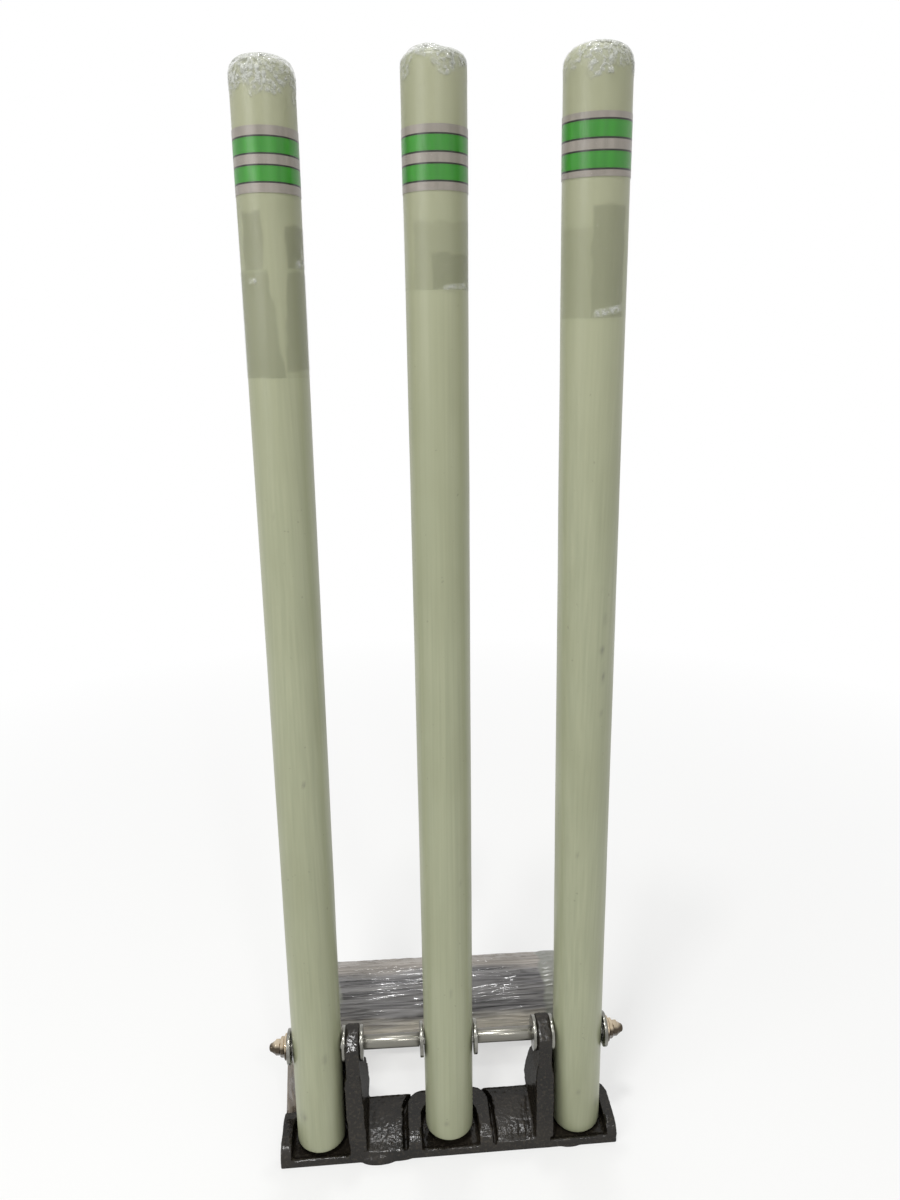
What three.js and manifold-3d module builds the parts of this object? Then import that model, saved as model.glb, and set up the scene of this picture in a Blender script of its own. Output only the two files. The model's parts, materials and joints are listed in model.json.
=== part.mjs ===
// Spring-back cricket stumps: three painted wooden stumps that hinge on one axle in a cast-iron base.
// A ball knocks a stump back; an extension spring behind its foot pulls it upright against the casting.
// Millimetres. +X runs along the axle, +Y the way a struck stump falls, +Z up.
// The origin is on the ground, under the middle of the axle.
import * as THREE from "three";
import { mergeVertices } from "three/addons/utils/BufferGeometryUtils.js";
import Module from "manifold-3d";

const wasm = await Module();
wasm.setup();

// Fits
const seatGap = 0.3; // between pieces that touch
const cutOverrun = 2; // how far a cutting tool runs past the face it cuts
const mergeTolerance = 1e-4;

// Stumps
const sides = ["left", "middle", "right"];
const placeShares = [-1, 0, 1]; // of the spacing, along the axle
const stumpLengths = [703, 700.6, 702.6]; // with the foot's height, 28 inches above the ground
const stumpRadius = 17.4;
const stumpSpacing = 93.8;
const footHeights = [8, 10.2, 6.3]; // of each foot's underside above the ground
const footEdgeRadius = 2;
const domeHeights = [12.5, 10.1, 12.1]; // of the rounded tops
const domeFullnesses = [0.76, 0.56, 0.78]; // 1 is an ellipse, less is squarer
const stumpHolePlay = 0.8; // lets each stump lean a little on the axle
const backLeanDegs = [1.89, 0.43, -2.12]; // top away from the bowler, by stump
const sideLeanDegs = [0.13, -0.23, -1.51]; // top towards +X, by stump

// Label bands round the stumps
const labelDrops = [34.8, 36.2, 32.1]; // from each stump's top to its label's
const labelHeights = [32.2, 31.1, 28.8];
const labelThickness = 0.4;

// Axle, spacer tubes and washers
const axleHeight = 87;
const rodRadius = 4;
const threadRadius = 3;
const boreGap = 0.5; // between the rod and what is threaded on it
const tubeRadius = 5.4;
const washerRadius = 12;
const washerThickness = 2.5;
const washerPlay = 0.6; // lets a stump turn between its washers

// Nuts on the axle's ends
const nutFlats = 12.4;
const nutLength = 4.8;
const nutFlangeRadius = 8.8;
const nutFlangeThickness = 1.4;
const capFlats = 9.6;
const capHexLength = 3.4;
const capTaperLength = 2.6;
const capNoseRadius = 3;
const capNoseLength = 1.9;

// Base casting: floor, front edge, decks between the pockets, and the arch round each foot
const pocketSkewDeg = 0.95; // of the row of pockets from the axle: its left end is nearer the bowler
const frontLedge = 3; // floor in front of a foot
const floorThickness = 4.2;
const frontEdgeHeight = 8;
const lipHeight = 5.8; // low enough for a foot to swing over
const lipWidth = 3;
const deckHeight = 13;
const archHeight = 15;
const archBackWalls = [5.5, 8.5, 5.5]; // by stump
const archLegWidths = [7.8, 9.8, 7.8]; // by stump
const archCornerRadius = 15;
const archRampLength = 11; // rounded front end of a leg
const backEdgeRadius = 3;
const pocketSideGap = 3.6;

// Ears that carry the axle
const earThickness = 9.4;
const earNoseRadius = 12.8;
const earWaistHeight = 63; // where the gusset leaves the ear's back
const gussetReach = 47; // how far the gusset runs back along the ground

// Counterweight bar across the back, its arms and bolts
const barRadius = 30;
const barHalfLength = 100.5;
const barBack = 99.6; // from the axle
const armWidth = 8;
const armHeight = 14;
const lugRadius = 19;
const boltRadius = 5;
const boltDepth = 24;
const boltHeadFlats = 16;
const boltHeadThickness = 6.4;

// Stretch film wound round the bar
const filmThickness = 2.6;
const filmSetback = 0.6; // from the bar's ends

// Screw eyes and springs
const eyeWireRadius = 0.9;
const eyeRingRadius = 3.2;
const eyeNeck = 1.5;
const eyeScrewDepth = 12;
const springWireRadius = 0.8;
const springCoilRadius = 4.7;
const springHookRadius = 3;
const springHookLead = 1.6; // from the hook's circle to the first turn
const springHookGap = 0.45;
const springTurns = 9;

// Facets
const stumpFacets = 36;
const roundFacets = 20;
const arcFacets = 5;
const turnSteps = 8;
const hookSteps = 10;
const wireSides = 5;

// Sizes that follow
const barHeight = barRadius + filmThickness + seatGap * 2;
const pocketHalfWidth = stumpRadius + pocketSideGap;
const archHalfWidths = archLegWidths.map((width) => pocketHalfWidth + width);
const frontFace = -(stumpRadius + frontLedge);
const middleWasherStart = stumpRadius + washerPlay;
const outerWasherStart = stumpSpacing + stumpRadius + washerPlay;
const outerWasherEnd = outerWasherStart + washerThickness;
const earOuterWasherStart = stumpSpacing - stumpRadius - washerPlay - washerThickness;
const earOuterFace = earOuterWasherStart - seatGap;
const earInnerFace = earOuterFace - earThickness;
const earInnerWasherStart = earInnerFace - seatGap - washerThickness;
const tubeStart = middleWasherStart + washerThickness + seatGap;
const tubeEnd = earInnerWasherStart - seatGap;
const nutStart = outerWasherEnd + seatGap;
const capStart = nutStart + nutLength + seatGap;
const capHexEnd = capStart + capHexLength;
const armInnerFace = barHalfLength + seatGap;
const armOuterFace = armInnerFace + armWidth;
const pocketSkew = THREE.MathUtils.degToRad(pocketSkewDeg);
const backLeans = backLeanDegs.map(THREE.MathUtils.degToRad);
const sideLeans = sideLeanDegs.map(THREE.MathUtils.degToRad);
const stumpPlaces = placeShares.map((share) => share * stumpSpacing);

const finish = (color, roughness, metalness) =>
  new THREE.MeshStandardMaterial({ color, roughness, metalness });
const paintedWood = finish(0xa9ad8d, 0.45, 0);
const castIron = finish(0x3d3937, 0.35, 0.5);
const zincPlate = finish(0xb9b7ae, 0.3, 0.9);
const nickelPlate = finish(0xb9a890, 0.25, 0.9);
const springSteel = finish(0x8f9094, 0.3, 0.9);
const silverLabel = finish(0x9e9ba6, 0.4, 0.1);
const stretchFilm = finish(0x85838a, 0.15, 0);

// Closed meshes to solids and back, for joins and cuts
function solid(geometry) {
  const loose = geometry.index ? geometry.toNonIndexed() : geometry;
  const bare = new THREE.BufferGeometry().setAttribute("position", loose.getAttribute("position"));
  const merged = mergeVertices(bare, mergeTolerance);
  return new wasm.Manifold(
    new wasm.Mesh({
      numProp: 3,
      vertProperties: merged.attributes.position.array,
      triVerts: new Uint32Array(merged.index.array),
    }),
  );
}

function geometryOf(body) {
  const mesh = body.getMesh();
  const geometry = new THREE.BufferGeometry();
  geometry.setAttribute("position", new THREE.BufferAttribute(mesh.vertProperties, mesh.numProp));
  geometry.setIndex(new THREE.BufferAttribute(mesh.triVerts, 1));
  const faceted = geometry.toNonIndexed();
  faceted.computeVertexNormals();
  return faceted;
}

// A profile of [radius, place] pairs, turned about +X
function turnedAlongX(profile, facets = roundFacets) {
  const points = profile.map(([radius, place]) => new THREE.Vector2(radius, place));
  return new THREE.LatheGeometry(points, facets).rotateZ(-Math.PI / 2);
}

const rodAlongX = (radius, from, to, facets) =>
  turnedAlongX([[0, from], [radius, from], [radius, to], [0, to]], facets);

const ringAlongX = (inner, outer, from, to, facets) =>
  turnedAlongX([[inner, from], [outer, from], [outer, to], [inner, to], [inner, from]], facets);

const hexAlongX = (flats, from, to) => rodAlongX(flats / Math.sqrt(3), from, to, 6);

// A rod along +Y
const rodAlongY = (radius, from, to) => rodAlongX(radius, from, to, 12).rotateZ(Math.PI / 2);

// A shape drawn in X and Y, raised along Z
function raised(shape, from, to) {
  const depth = to - from;
  const geometry = new THREE.ExtrudeGeometry(shape, {
    depth,
    bevelEnabled: false,
    curveSegments: arcFacets,
  });
  return geometry.translate(0, 0, from);
}

// A shape drawn in Y and Z, drawn out along X
const profileToX = new THREE.Matrix4().makeBasis(
  new THREE.Vector3(0, 1, 0),
  new THREE.Vector3(0, 0, 1),
  new THREE.Vector3(1, 0, 0),
);
const drawnOut = (shape, from, to) => raised(shape, from, to).applyMatrix4(profileToX);

function boxShape(left, low, right, high) {
  const shape = new THREE.Shape();
  shape.moveTo(left, low);
  shape.lineTo(right, low);
  shape.lineTo(right, high);
  shape.lineTo(left, high);
  return shape;
}

// A wire of even thickness through points, closed by a flat face at each end
function wireThrough(points, radius) {
  const corners = [];
  let across = new THREE.Vector3();
  points.forEach((point, i) => {
    const before = points[Math.max(i - 1, 0)];
    const after = points[Math.min(i + 1, points.length - 1)];
    const along = after.clone().sub(before).normalize();
    if (i === 0) across.set(-along.y, along.x, 0);
    across = across.clone().addScaledVector(along, -across.dot(along)).normalize();
    const up = along.clone().cross(across);
    for (let side = 0; side < wireSides; side++) {
      const angle = (2 * Math.PI * side) / wireSides;
      const corner = point.clone().addScaledVector(across, radius * Math.cos(angle));
      corners.push(corner.addScaledVector(up, radius * Math.sin(angle)));
    }
  });
  const faces = [];
  for (let ring = 0; ring < points.length - 1; ring++) {
    for (let side = 0; side < wireSides; side++) {
      const next = (side + 1) % wireSides;
      const [a, b] = [ring * wireSides + side, ring * wireSides + next];
      faces.push(a, b, b + wireSides, a, b + wireSides, a + wireSides);
    }
  }
  const last = (points.length - 1) * wireSides;
  for (let side = 1; side < wireSides - 1; side++) {
    faces.push(0, side + 1, side, last, last + side, last + side + 1);
  }
  const geometry = new THREE.BufferGeometry().setFromPoints(corners);
  geometry.setIndex(faces);
  geometry.computeVertexNormals();
  return geometry;
}

// The least clear distance of a wire from itself, past the half turn that follows each point
function leastGap(points, radius) {
  const nearSteps = turnSteps / 2;
  let least = Infinity;
  for (let i = 0; i < points.length; i++) {
    for (let j = i + nearSteps; j < points.length; j++) {
      least = Math.min(least, points[i].distanceTo(points[j]) - 2 * radius);
    }
  }
  return least;
}

const group = new THREE.Group();

function place(parent, name, geometry, material) {
  const mesh = new THREE.Mesh(geometry, material);
  mesh.name = name;
  parent.add(mesh);
  return mesh;
}

// Stumps. Each is drawn about the axle's height, so that its group can lean there.
const eyeHeight = barHeight - axleHeight;

function stumpGeometry(footHeight, length, domeHeight, fullness) {
  const stumpStart = footHeight - axleHeight;
  const stumpEnd = stumpStart + length;
  const profile = [[0, stumpStart]];
  const footSteps = 3;
  for (let i = 0; i <= footSteps; i++) {
    const angle = (Math.PI / 2) * (i / footSteps);
    const radius = stumpRadius - footEdgeRadius * (1 - Math.sin(angle));
    profile.push([radius, stumpStart + footEdgeRadius * (1 - Math.cos(angle))]);
  }
  for (let i = 0; i <= arcFacets; i++) {
    const angle = (Math.PI / 2) * (i / arcFacets);
    const radius = i < arcFacets ? stumpRadius * Math.cos(angle) ** fullness : 0;
    profile.push([radius, stumpEnd - domeHeight * (1 - Math.sin(angle) ** fullness)]);
  }
  const post = turnedAlongX(profile, stumpFacets).rotateY(-Math.PI / 2);
  const axleHole = rodAlongX(
    rodRadius + stumpHolePlay,
    -stumpRadius - cutOverrun,
    stumpRadius + cutOverrun,
  );
  const eyeHole = rodAlongY(
    eyeWireRadius + seatGap,
    stumpRadius - eyeScrewDepth - seatGap,
    stumpRadius + cutOverrun,
  ).translate(0, 0, eyeHeight);
  return geometryOf(solid(post).subtract(solid(axleHole)).subtract(solid(eyeHole)));
}

function labelGeometry(stumpEnd, drop, height) {
  const inner = stumpRadius + seatGap;
  const outer = inner + labelThickness;
  const top = stumpEnd - drop;
  return ringAlongX(inner, outer, top - height, top, stumpFacets).rotateY(-Math.PI / 2);
}

// A screw eye whose shank points along +Y from the face that it is screwed into
function eyeGeometry(face, direction, neck) {
  const ringCentre = face + direction * (neck + eyeRingRadius);
  const shankEnds = [
    face - direction * eyeScrewDepth,
    ringCentre - direction * eyeRingRadius,
  ];
  const shank = rodAlongY(eyeWireRadius, Math.min(...shankEnds), Math.max(...shankEnds));
  const ring = new THREE.TorusGeometry(eyeRingRadius, eyeWireRadius, 6, 14)
    .rotateY(Math.PI / 2)
    .translate(0, ringCentre, 0);
  return geometryOf(solid(shank).add(solid(ring)));
}

const stumpEyeRing = stumpRadius + eyeNeck + eyeRingRadius;
const stumpGroups = sides.map((side, i) => {
  const stump = new THREE.Group();
  stump.position.set(stumpPlaces[i], 0, axleHeight);
  stump.rotation.set(-backLeans[i], sideLeans[i], 0);
  const post = stumpGeometry(footHeights[i], stumpLengths[i], domeHeights[i], domeFullnesses[i]);
  place(stump, `stump_${side}`, post, paintedWood);
  const stumpEnd = footHeights[i] - axleHeight + stumpLengths[i];
  const label = labelGeometry(stumpEnd, labelDrops[i], labelHeights[i]);
  place(stump, `label_band_${side}`, label, silverLabel);
  const eye = place(stump, `foot_eye_${side}`, eyeGeometry(stumpRadius, 1, eyeNeck), zincPlate);
  eye.position.z = eyeHeight;
  group.add(stump);
  return stump;
});

// Axle: a rod with its ends turned down and threaded, and the pieces strung on it
const threadEnd = capHexEnd - seatGap;
const halfRod = [
  [rodRadius, outerWasherEnd],
  [threadRadius, outerWasherEnd],
  [threadRadius, threadEnd],
  [0, threadEnd],
];
const otherHalf = halfRod.map(([radius, x]) => [radius, -x]).reverse();
place(group, "axle_rod", turnedAlongX([...otherHalf, ...halfRod]), zincPlate).position.z = axleHeight;

const washerStarts = {
  middle: middleWasherStart,
  ear_inner: earInnerWasherStart,
  ear_outer: earOuterWasherStart,
  outer: outerWasherStart,
};
const rodBore = rodRadius + boreGap;
const threadBore = threadRadius + boreGap;

function flangeNut() {
  const hex = solid(hexAlongX(nutFlats, nutStart, nutStart + nutLength));
  const flangeEnd = nutStart + nutFlangeThickness;
  const cone = turnedAlongX([
    [0, nutStart],
    [nutFlangeRadius, nutStart],
    [nutFlangeRadius, flangeEnd],
    [nutFlats / 2, flangeEnd + nutFlangeThickness],
    [0, flangeEnd + nutFlangeThickness],
  ]);
  const bore = rodAlongX(threadBore, nutStart - cutOverrun, nutStart + nutLength + cutOverrun);
  return geometryOf(hex.add(solid(cone)).subtract(solid(bore)));
}

function domeNut() {
  const hex = solid(hexAlongX(capFlats, capStart, capHexEnd));
  const noseStart = capHexEnd + capTaperLength;
  const nose = Array.from({ length: arcFacets + 1 }, (_, i) => {
    const angle = (Math.PI / 2) * (i / arcFacets);
    const radius = i < arcFacets ? capNoseRadius * Math.cos(angle) : 0;
    return [radius, noseStart + capNoseLength * Math.sin(angle)];
  });
  const dome = turnedAlongX([[0, capStart], [capFlats / 2, capStart], [capFlats / 2, capHexEnd], ...nose]);
  const bore = rodAlongX(threadBore, capStart - cutOverrun, capHexEnd);
  return geometryOf(hex.add(solid(dome)).subtract(solid(bore)));
}

for (const side of ["left", "right"]) {
  const half = new THREE.Group();
  half.position.z = axleHeight;
  if (side === "left") half.rotation.z = Math.PI;
  for (const [where, start] of Object.entries(washerStarts)) {
    const washer = ringAlongX(rodBore, washerRadius, start, start + washerThickness);
    place(half, `washer_${side}_${where}`, washer, zincPlate);
  }
  place(half, `spacer_tube_${side}`, ringAlongX(rodBore, tubeRadius, tubeStart, tubeEnd), zincPlate);
  place(half, `flange_nut_${side}`, flangeNut(), nickelPlate);
  place(half, `dome_nut_${side}`, domeNut(), nickelPlate);
  group.add(half);
}

// Where the back of a stump's foot comes to rest, and so where its pocket ends,
// from the line through the axle that the row of pockets follows
function footBack(lean, footHeight, x) {
  const heights = [archHeight, footHeight + footEdgeRadius];
  const backs = heights.map(
    (height) => stumpRadius / Math.cos(lean) - (axleHeight - height) * Math.tan(lean),
  );
  return Math.max(...backs) - x * Math.sin(pocketSkew);
}
const pocketBacks = backLeans.map(
  (lean, i) => footBack(lean, footHeights[i], stumpPlaces[i]) + seatGap,
);
const archBacks = pocketBacks.map((back, i) => back + archBackWalls[i]);

// A horseshoe in plan: straight sides and a back with rounded corners
function horseshoe(centre, halfWidth, front, back, corner) {
  const shape = new THREE.Shape();
  const [left, right] = [centre - halfWidth, centre + halfWidth];
  shape.moveTo(left, front);
  shape.lineTo(right, front);
  shape.lineTo(right, back - corner);
  shape.absarc(right - corner, back - corner, corner, 0, Math.PI / 2);
  shape.lineTo(left + corner, back);
  shape.absarc(left + corner, back - corner, corner, Math.PI / 2, Math.PI);
  return shape;
}

// The casting's side outline: a front edge, a rise that eases off, and a rounded back edge
function sideOutline(back, height, rampLength) {
  const shape = new THREE.Shape();
  shape.moveTo(frontFace, 0);
  shape.lineTo(back, 0);
  shape.lineTo(back, height - backEdgeRadius);
  shape.absarc(back - backEdgeRadius, height - backEdgeRadius, backEdgeRadius, 0, Math.PI / 2);
  shape.lineTo(frontFace + rampLength, height);
  const easeShare = 0.3;
  shape.quadraticCurveTo(frontFace + rampLength * easeShare, height, frontFace, frontEdgeHeight);
  return shape;
}

function earShape(front) {
  const shape = new THREE.Shape();
  const bulgeShare = { reach: 0.62, height: 0.72 };
  shape.moveTo(front, 0);
  shape.lineTo(gussetReach, 0);
  shape.quadraticCurveTo(
    gussetReach * bulgeShare.reach,
    earWaistHeight * bulgeShare.height,
    earNoseRadius,
    earWaistHeight,
  );
  shape.absarc(0, axleHeight, earNoseRadius, 0, Math.PI);
  shape.lineTo(front, frontEdgeHeight);
  return shape;
}

function armShape() {
  const shape = new THREE.Shape();
  const footHalf = lugRadius * Math.SQRT1_2;
  shape.moveTo(0, 0);
  shape.lineTo(barBack + footHalf, 0);
  shape.absarc(barBack, barHeight, lugRadius, 0, Math.PI);
  shape.lineTo(barBack - lugRadius - armHeight, armHeight);
  shape.lineTo(0, armHeight);
  return shape;
}

// Floor, decks and arches, before they are turned to follow the skew of the row
function pocketRow() {
  const deckBack = archBacks[1];
  const deckDepth = deckBack - frontFace;
  const rampShare = 0.75; // of the deck's depth
  let row = solid(
    drawnOut(sideOutline(deckBack, deckHeight, deckDepth * rampShare), -stumpSpacing, stumpSpacing),
  );
  stumpPlaces.forEach((x, i) => {
    const halfWidth = archHalfWidths[i];
    const plan = horseshoe(x, halfWidth, frontFace, archBacks[i], archCornerRadius);
    const outline = sideOutline(archBacks[i], archHeight, archRampLength);
    const block = solid(raised(plan, 0, archHeight));
    const limit = solid(drawnOut(outline, x - halfWidth, x + halfWidth));
    row = row.add(block.intersect(limit));
  });
  return row;
}

// What is cut out of the row for each foot: its pocket, and the pocket's open front
function footSpace(x, pocketBack) {
  const pocketCorner = pocketHalfWidth - pocketSideGap;
  const floorFront = frontFace + lipWidth;
  const pocket = horseshoe(x, pocketHalfWidth, floorFront, pocketBack, pocketCorner);
  const mouth = boxShape(
    x - pocketHalfWidth,
    frontFace - cutOverrun,
    x + pocketHalfWidth,
    floorFront + cutOverrun,
  );
  const above = archHeight + cutOverrun;
  return solid(raised(pocket, floorThickness, above)).add(solid(raised(mouth, lipHeight, above)));
}

function baseCasting() {
  let base = pocketRow().rotate([0, 0, pocketSkewDeg]);
  for (const direction of [-1, 1]) {
    const earEnds = [direction * earInnerFace, direction * earOuterFace].sort((a, b) => a - b);
    const earFront = frontFace + direction * earInnerFace * Math.tan(pocketSkew);
    base = base.add(solid(drawnOut(earShape(earFront), ...earEnds)));
    const armEnds = [direction * armInnerFace, direction * armOuterFace].sort((a, b) => a - b);
    base = base.add(solid(drawnOut(armShape(), ...armEnds)));
  }
  stumpPlaces.forEach((x, i) => {
    base = base.subtract(footSpace(x, pocketBacks[i]).rotate([0, 0, pocketSkewDeg]));
  });
  const axleBore = rodAlongX(rodBore, -stumpSpacing, stumpSpacing).translate(0, 0, axleHeight);
  const boltBore = rodAlongX(
    boltRadius + boreGap,
    -armOuterFace - cutOverrun,
    armOuterFace + cutOverrun,
  ).translate(0, barBack, barHeight);
  return geometryOf(base.subtract(solid(axleBore)).subtract(solid(boltBore)));
}
place(group, "base_casting", baseCasting(), castIron);

// Counterweight bar, bolted between the arms
const barEyeNeck = filmThickness + seatGap + eyeNeck;
const barFace = barBack - barRadius;

function counterweightBar() {
  let bar = solid(rodAlongX(barRadius, -barHalfLength, barHalfLength, stumpFacets));
  for (const direction of [-1, 1]) {
    const ends = [
      direction * (barHalfLength - boltDepth - seatGap),
      direction * (barHalfLength + cutOverrun),
    ].sort((a, b) => a - b);
    bar = bar.subtract(solid(rodAlongX(boltRadius + boreGap, ...ends)));
  }
  for (const x of stumpPlaces) {
    const hole = rodAlongY(
      eyeWireRadius + seatGap,
      -barRadius - cutOverrun,
      -barRadius + eyeScrewDepth + seatGap,
    );
    bar = bar.subtract(solid(hole.translate(x, 0, 0)));
  }
  return geometryOf(bar);
}

function filmSleeve() {
  const half = barHalfLength - filmSetback;
  const inner = barRadius + seatGap;
  const outer = inner + filmThickness;
  let film = solid(ringAlongX(inner, outer, -half, half, stumpFacets));
  for (const x of stumpPlaces) {
    const hole = rodAlongY(eyeWireRadius + boreGap, -outer - cutOverrun, -barRadius + cutOverrun);
    film = film.subtract(solid(hole.translate(x, 0, 0)));
  }
  return geometryOf(film);
}

const rear = new THREE.Group();
rear.position.set(0, barBack, barHeight);
place(rear, "counterweight_bar", counterweightBar(), castIron);
place(rear, "bar_film", filmSleeve(), stretchFilm);
for (const side of ["left", "right"]) {
  const headStart = armOuterFace + seatGap;
  const shank = rodAlongX(boltRadius, barHalfLength - boltDepth, headStart + seatGap);
  const head = hexAlongX(boltHeadFlats, headStart, headStart + boltHeadThickness);
  const bolt = geometryOf(solid(shank).add(solid(head)));
  const mesh = place(rear, `bar_bolt_${side}`, bolt, zincPlate);
  if (side === "left") mesh.rotation.z = Math.PI;
}
sides.forEach((side, i) => {
  const eye = place(rear, `bar_eye_${side}`, eyeGeometry(-barRadius, -1, barEyeNeck), zincPlate);
  eye.position.x = stumpPlaces[i];
});
group.add(rear);

// Extension springs, each one wire: hook, turns, hook. Local +Z runs from the stump to the bar,
// from the centre of one hook's circle to the other's.
function springPoints(length) {
  const hookStart = -Math.PI / 3; // the wire's free end, short of a full circle
  const hook = Array.from({ length: hookSteps }, (_, i) => {
    const angle = hookStart + (Math.PI - hookStart) * (i / hookSteps);
    return new THREE.Vector3(Math.cos(angle), 0, -Math.sin(angle)).multiplyScalar(springHookRadius);
  });
  const firstTurn = springHookRadius + springHookLead;
  const swing = new THREE.CubicBezierCurve3(
    new THREE.Vector3(-springHookRadius, 0, 0),
    new THREE.Vector3(-springHookRadius, 0, springHookLead),
    new THREE.Vector3(-springHookRadius, -springCoilRadius, firstTurn),
    new THREE.Vector3(0, -springCoilRadius, firstTurn),
  );
  const start = [...hook, ...swing.getPoints(turnSteps / 2)];
  const steps = (springTurns + 1 / 2) * turnSteps;
  const rise = (length - 2 * firstTurn) / steps;
  const turns = Array.from({ length: steps - 1 }, (_, i) => {
    const angle = (2 * Math.PI * (i + 1)) / turnSteps - Math.PI / 2;
    const [x, y] = [springCoilRadius * Math.cos(angle), springCoilRadius * Math.sin(angle)];
    return new THREE.Vector3(x, y, firstTurn + rise * (i + 1));
  });
  const end = start.map((point) => new THREE.Vector3(point.x, -point.y, length - point.z));
  return [...start, ...turns, ...end.reverse()];
}

const barEyeRing = barFace - barEyeNeck - eyeRingRadius;
const hookReach =
  eyeRingRadius + springHookRadius - eyeWireRadius - springWireRadius - springHookGap;
group.updateMatrixWorld(true);
sides.forEach((side, i) => {
  const start = stumpGroups[i].localToWorld(new THREE.Vector3(0, stumpEyeRing, eyeHeight));
  const end = new THREE.Vector3(stumpPlaces[i], barEyeRing, barHeight);
  const length = start.distanceTo(end) - 2 * hookReach;
  const points = springPoints(length);
  const spring = place(group, `return_spring_${side}`, wireThrough(points, springWireRadius), springSteel);
  const along = end.clone().sub(start).normalize();
  spring.position.copy(start).addScaledVector(along, hookReach);
  spring.quaternion.setFromUnitVectors(new THREE.Vector3(0, 0, 1), along);
  const gap = leastGap(points, springWireRadius);
  console.log(`return_spring_${side}: least gap to itself ${gap.toFixed(2)} mm`);
});

export default group;
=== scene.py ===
# %% [markdown]
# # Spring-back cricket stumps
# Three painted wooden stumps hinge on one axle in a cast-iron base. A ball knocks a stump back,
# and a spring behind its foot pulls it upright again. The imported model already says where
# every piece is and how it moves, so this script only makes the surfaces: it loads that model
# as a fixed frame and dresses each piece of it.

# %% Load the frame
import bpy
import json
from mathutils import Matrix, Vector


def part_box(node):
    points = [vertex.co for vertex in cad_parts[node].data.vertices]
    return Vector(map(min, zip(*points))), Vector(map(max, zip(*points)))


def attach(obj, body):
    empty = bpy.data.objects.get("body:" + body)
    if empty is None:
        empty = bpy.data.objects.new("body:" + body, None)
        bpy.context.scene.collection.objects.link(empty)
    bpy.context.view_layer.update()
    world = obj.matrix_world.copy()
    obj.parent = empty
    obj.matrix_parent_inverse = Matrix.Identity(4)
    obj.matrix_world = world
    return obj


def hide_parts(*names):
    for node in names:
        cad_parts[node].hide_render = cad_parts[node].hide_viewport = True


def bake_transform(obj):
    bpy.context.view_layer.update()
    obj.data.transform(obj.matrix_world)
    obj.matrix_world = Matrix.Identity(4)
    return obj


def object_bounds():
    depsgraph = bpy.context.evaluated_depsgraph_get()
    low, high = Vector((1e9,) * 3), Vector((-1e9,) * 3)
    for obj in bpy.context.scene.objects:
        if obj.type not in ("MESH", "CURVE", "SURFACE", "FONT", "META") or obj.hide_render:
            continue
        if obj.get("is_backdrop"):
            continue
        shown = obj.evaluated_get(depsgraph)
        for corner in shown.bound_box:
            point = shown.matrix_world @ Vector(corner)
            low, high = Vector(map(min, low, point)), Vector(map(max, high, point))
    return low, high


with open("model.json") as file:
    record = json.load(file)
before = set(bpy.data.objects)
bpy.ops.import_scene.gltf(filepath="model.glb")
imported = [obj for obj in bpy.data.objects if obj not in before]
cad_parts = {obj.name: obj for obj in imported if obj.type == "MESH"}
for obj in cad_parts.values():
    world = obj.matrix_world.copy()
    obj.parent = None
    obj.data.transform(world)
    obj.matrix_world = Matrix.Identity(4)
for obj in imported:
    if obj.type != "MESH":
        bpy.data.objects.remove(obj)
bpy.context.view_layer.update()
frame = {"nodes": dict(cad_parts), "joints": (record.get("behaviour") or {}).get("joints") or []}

# %% [markdown]
# Blender works in metres and a maker thinks in millimetres, so one value turns the second
# into the first. Every length below is a real size in millimetres, unless a comment says
# metres, as for the room.

# %% Libraries and units
import json
import math

import bmesh
import bpy
from mathutils import Matrix, Vector, noise

MM = 0.001
FULL_TURN = 2 * math.pi
SIDES = ("left", "middle", "right")
scene = bpy.context.scene

# %% [markdown]
# ## The camera
# A camera can be set by eye, but then nothing ever lines up. This one's place and angle come
# from a pinhole camera that was fitted to the straight edges of the stumps and to the axle,
# with the stumps' 28 inches as the scale. It is made first, so that every later cell can be
# rendered and looked at.

# %% Camera at the photograph's angle
CAMERA_PLACE = Vector((-29.4, -508.8, 575.9)) * MM
CAMERA_YAW = math.radians(3.72)  # towards +X
CAMERA_DIP = math.radians(17.30)  # below the horizon
CAMERA_ROLL = math.radians(-0.43)
SENSOR = 36
FOCAL_SHARE = 876.6 / 1200  # of the picture's long side

ahead = Vector((
    math.sin(CAMERA_YAW) * math.cos(CAMERA_DIP),
    math.cos(CAMERA_YAW) * math.cos(CAMERA_DIP),
    -math.sin(CAMERA_DIP),
))
level = Vector((math.cos(CAMERA_YAW), -math.sin(CAMERA_YAW), 0))
down = ahead.cross(level)
right = level * math.cos(CAMERA_ROLL) - down * math.sin(CAMERA_ROLL)
down = level * math.sin(CAMERA_ROLL) + down * math.cos(CAMERA_ROLL)

camera = bpy.data.objects.new("camera", bpy.data.cameras.new("camera"))
scene.collection.objects.link(camera)
camera.data.sensor_width = SENSOR
camera.data.lens = SENSOR * FOCAL_SHARE
camera.data.clip_start = 0.01
turned_camera = Matrix((right, -down, -ahead)).transposed()
camera.matrix_world = Matrix.Translation(CAMERA_PLACE) @ turned_camera.to_4x4()
scene.camera = camera
print("lens", round(camera.data.lens, 2), "mm")

# %% [markdown]
# ## Tools for finishes
# A finish is a small tree of nodes. Paint charts and colour pickers give sRGB hex values, but
# a shader adds up light, so it needs linear ones. The nodes could be made by hand with a line
# for each setting and link; one function that takes all of them keeps a finish short.

# %% Colours and nodes
def linear(hex_colour):
    """An sRGB colour such as '#a0b0c0' as the linear colour that a shader takes."""
    shares = [int(hex_colour[i:i + 2], 16) / 255 for i in (1, 3, 5)]
    low_end = 0.04045  # below it the sRGB curve is a straight line
    plain = [c / 12.92 if c <= low_end else ((c + 0.055) / 1.055) ** 2.4 for c in shares]
    return (*plain, 1)


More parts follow.
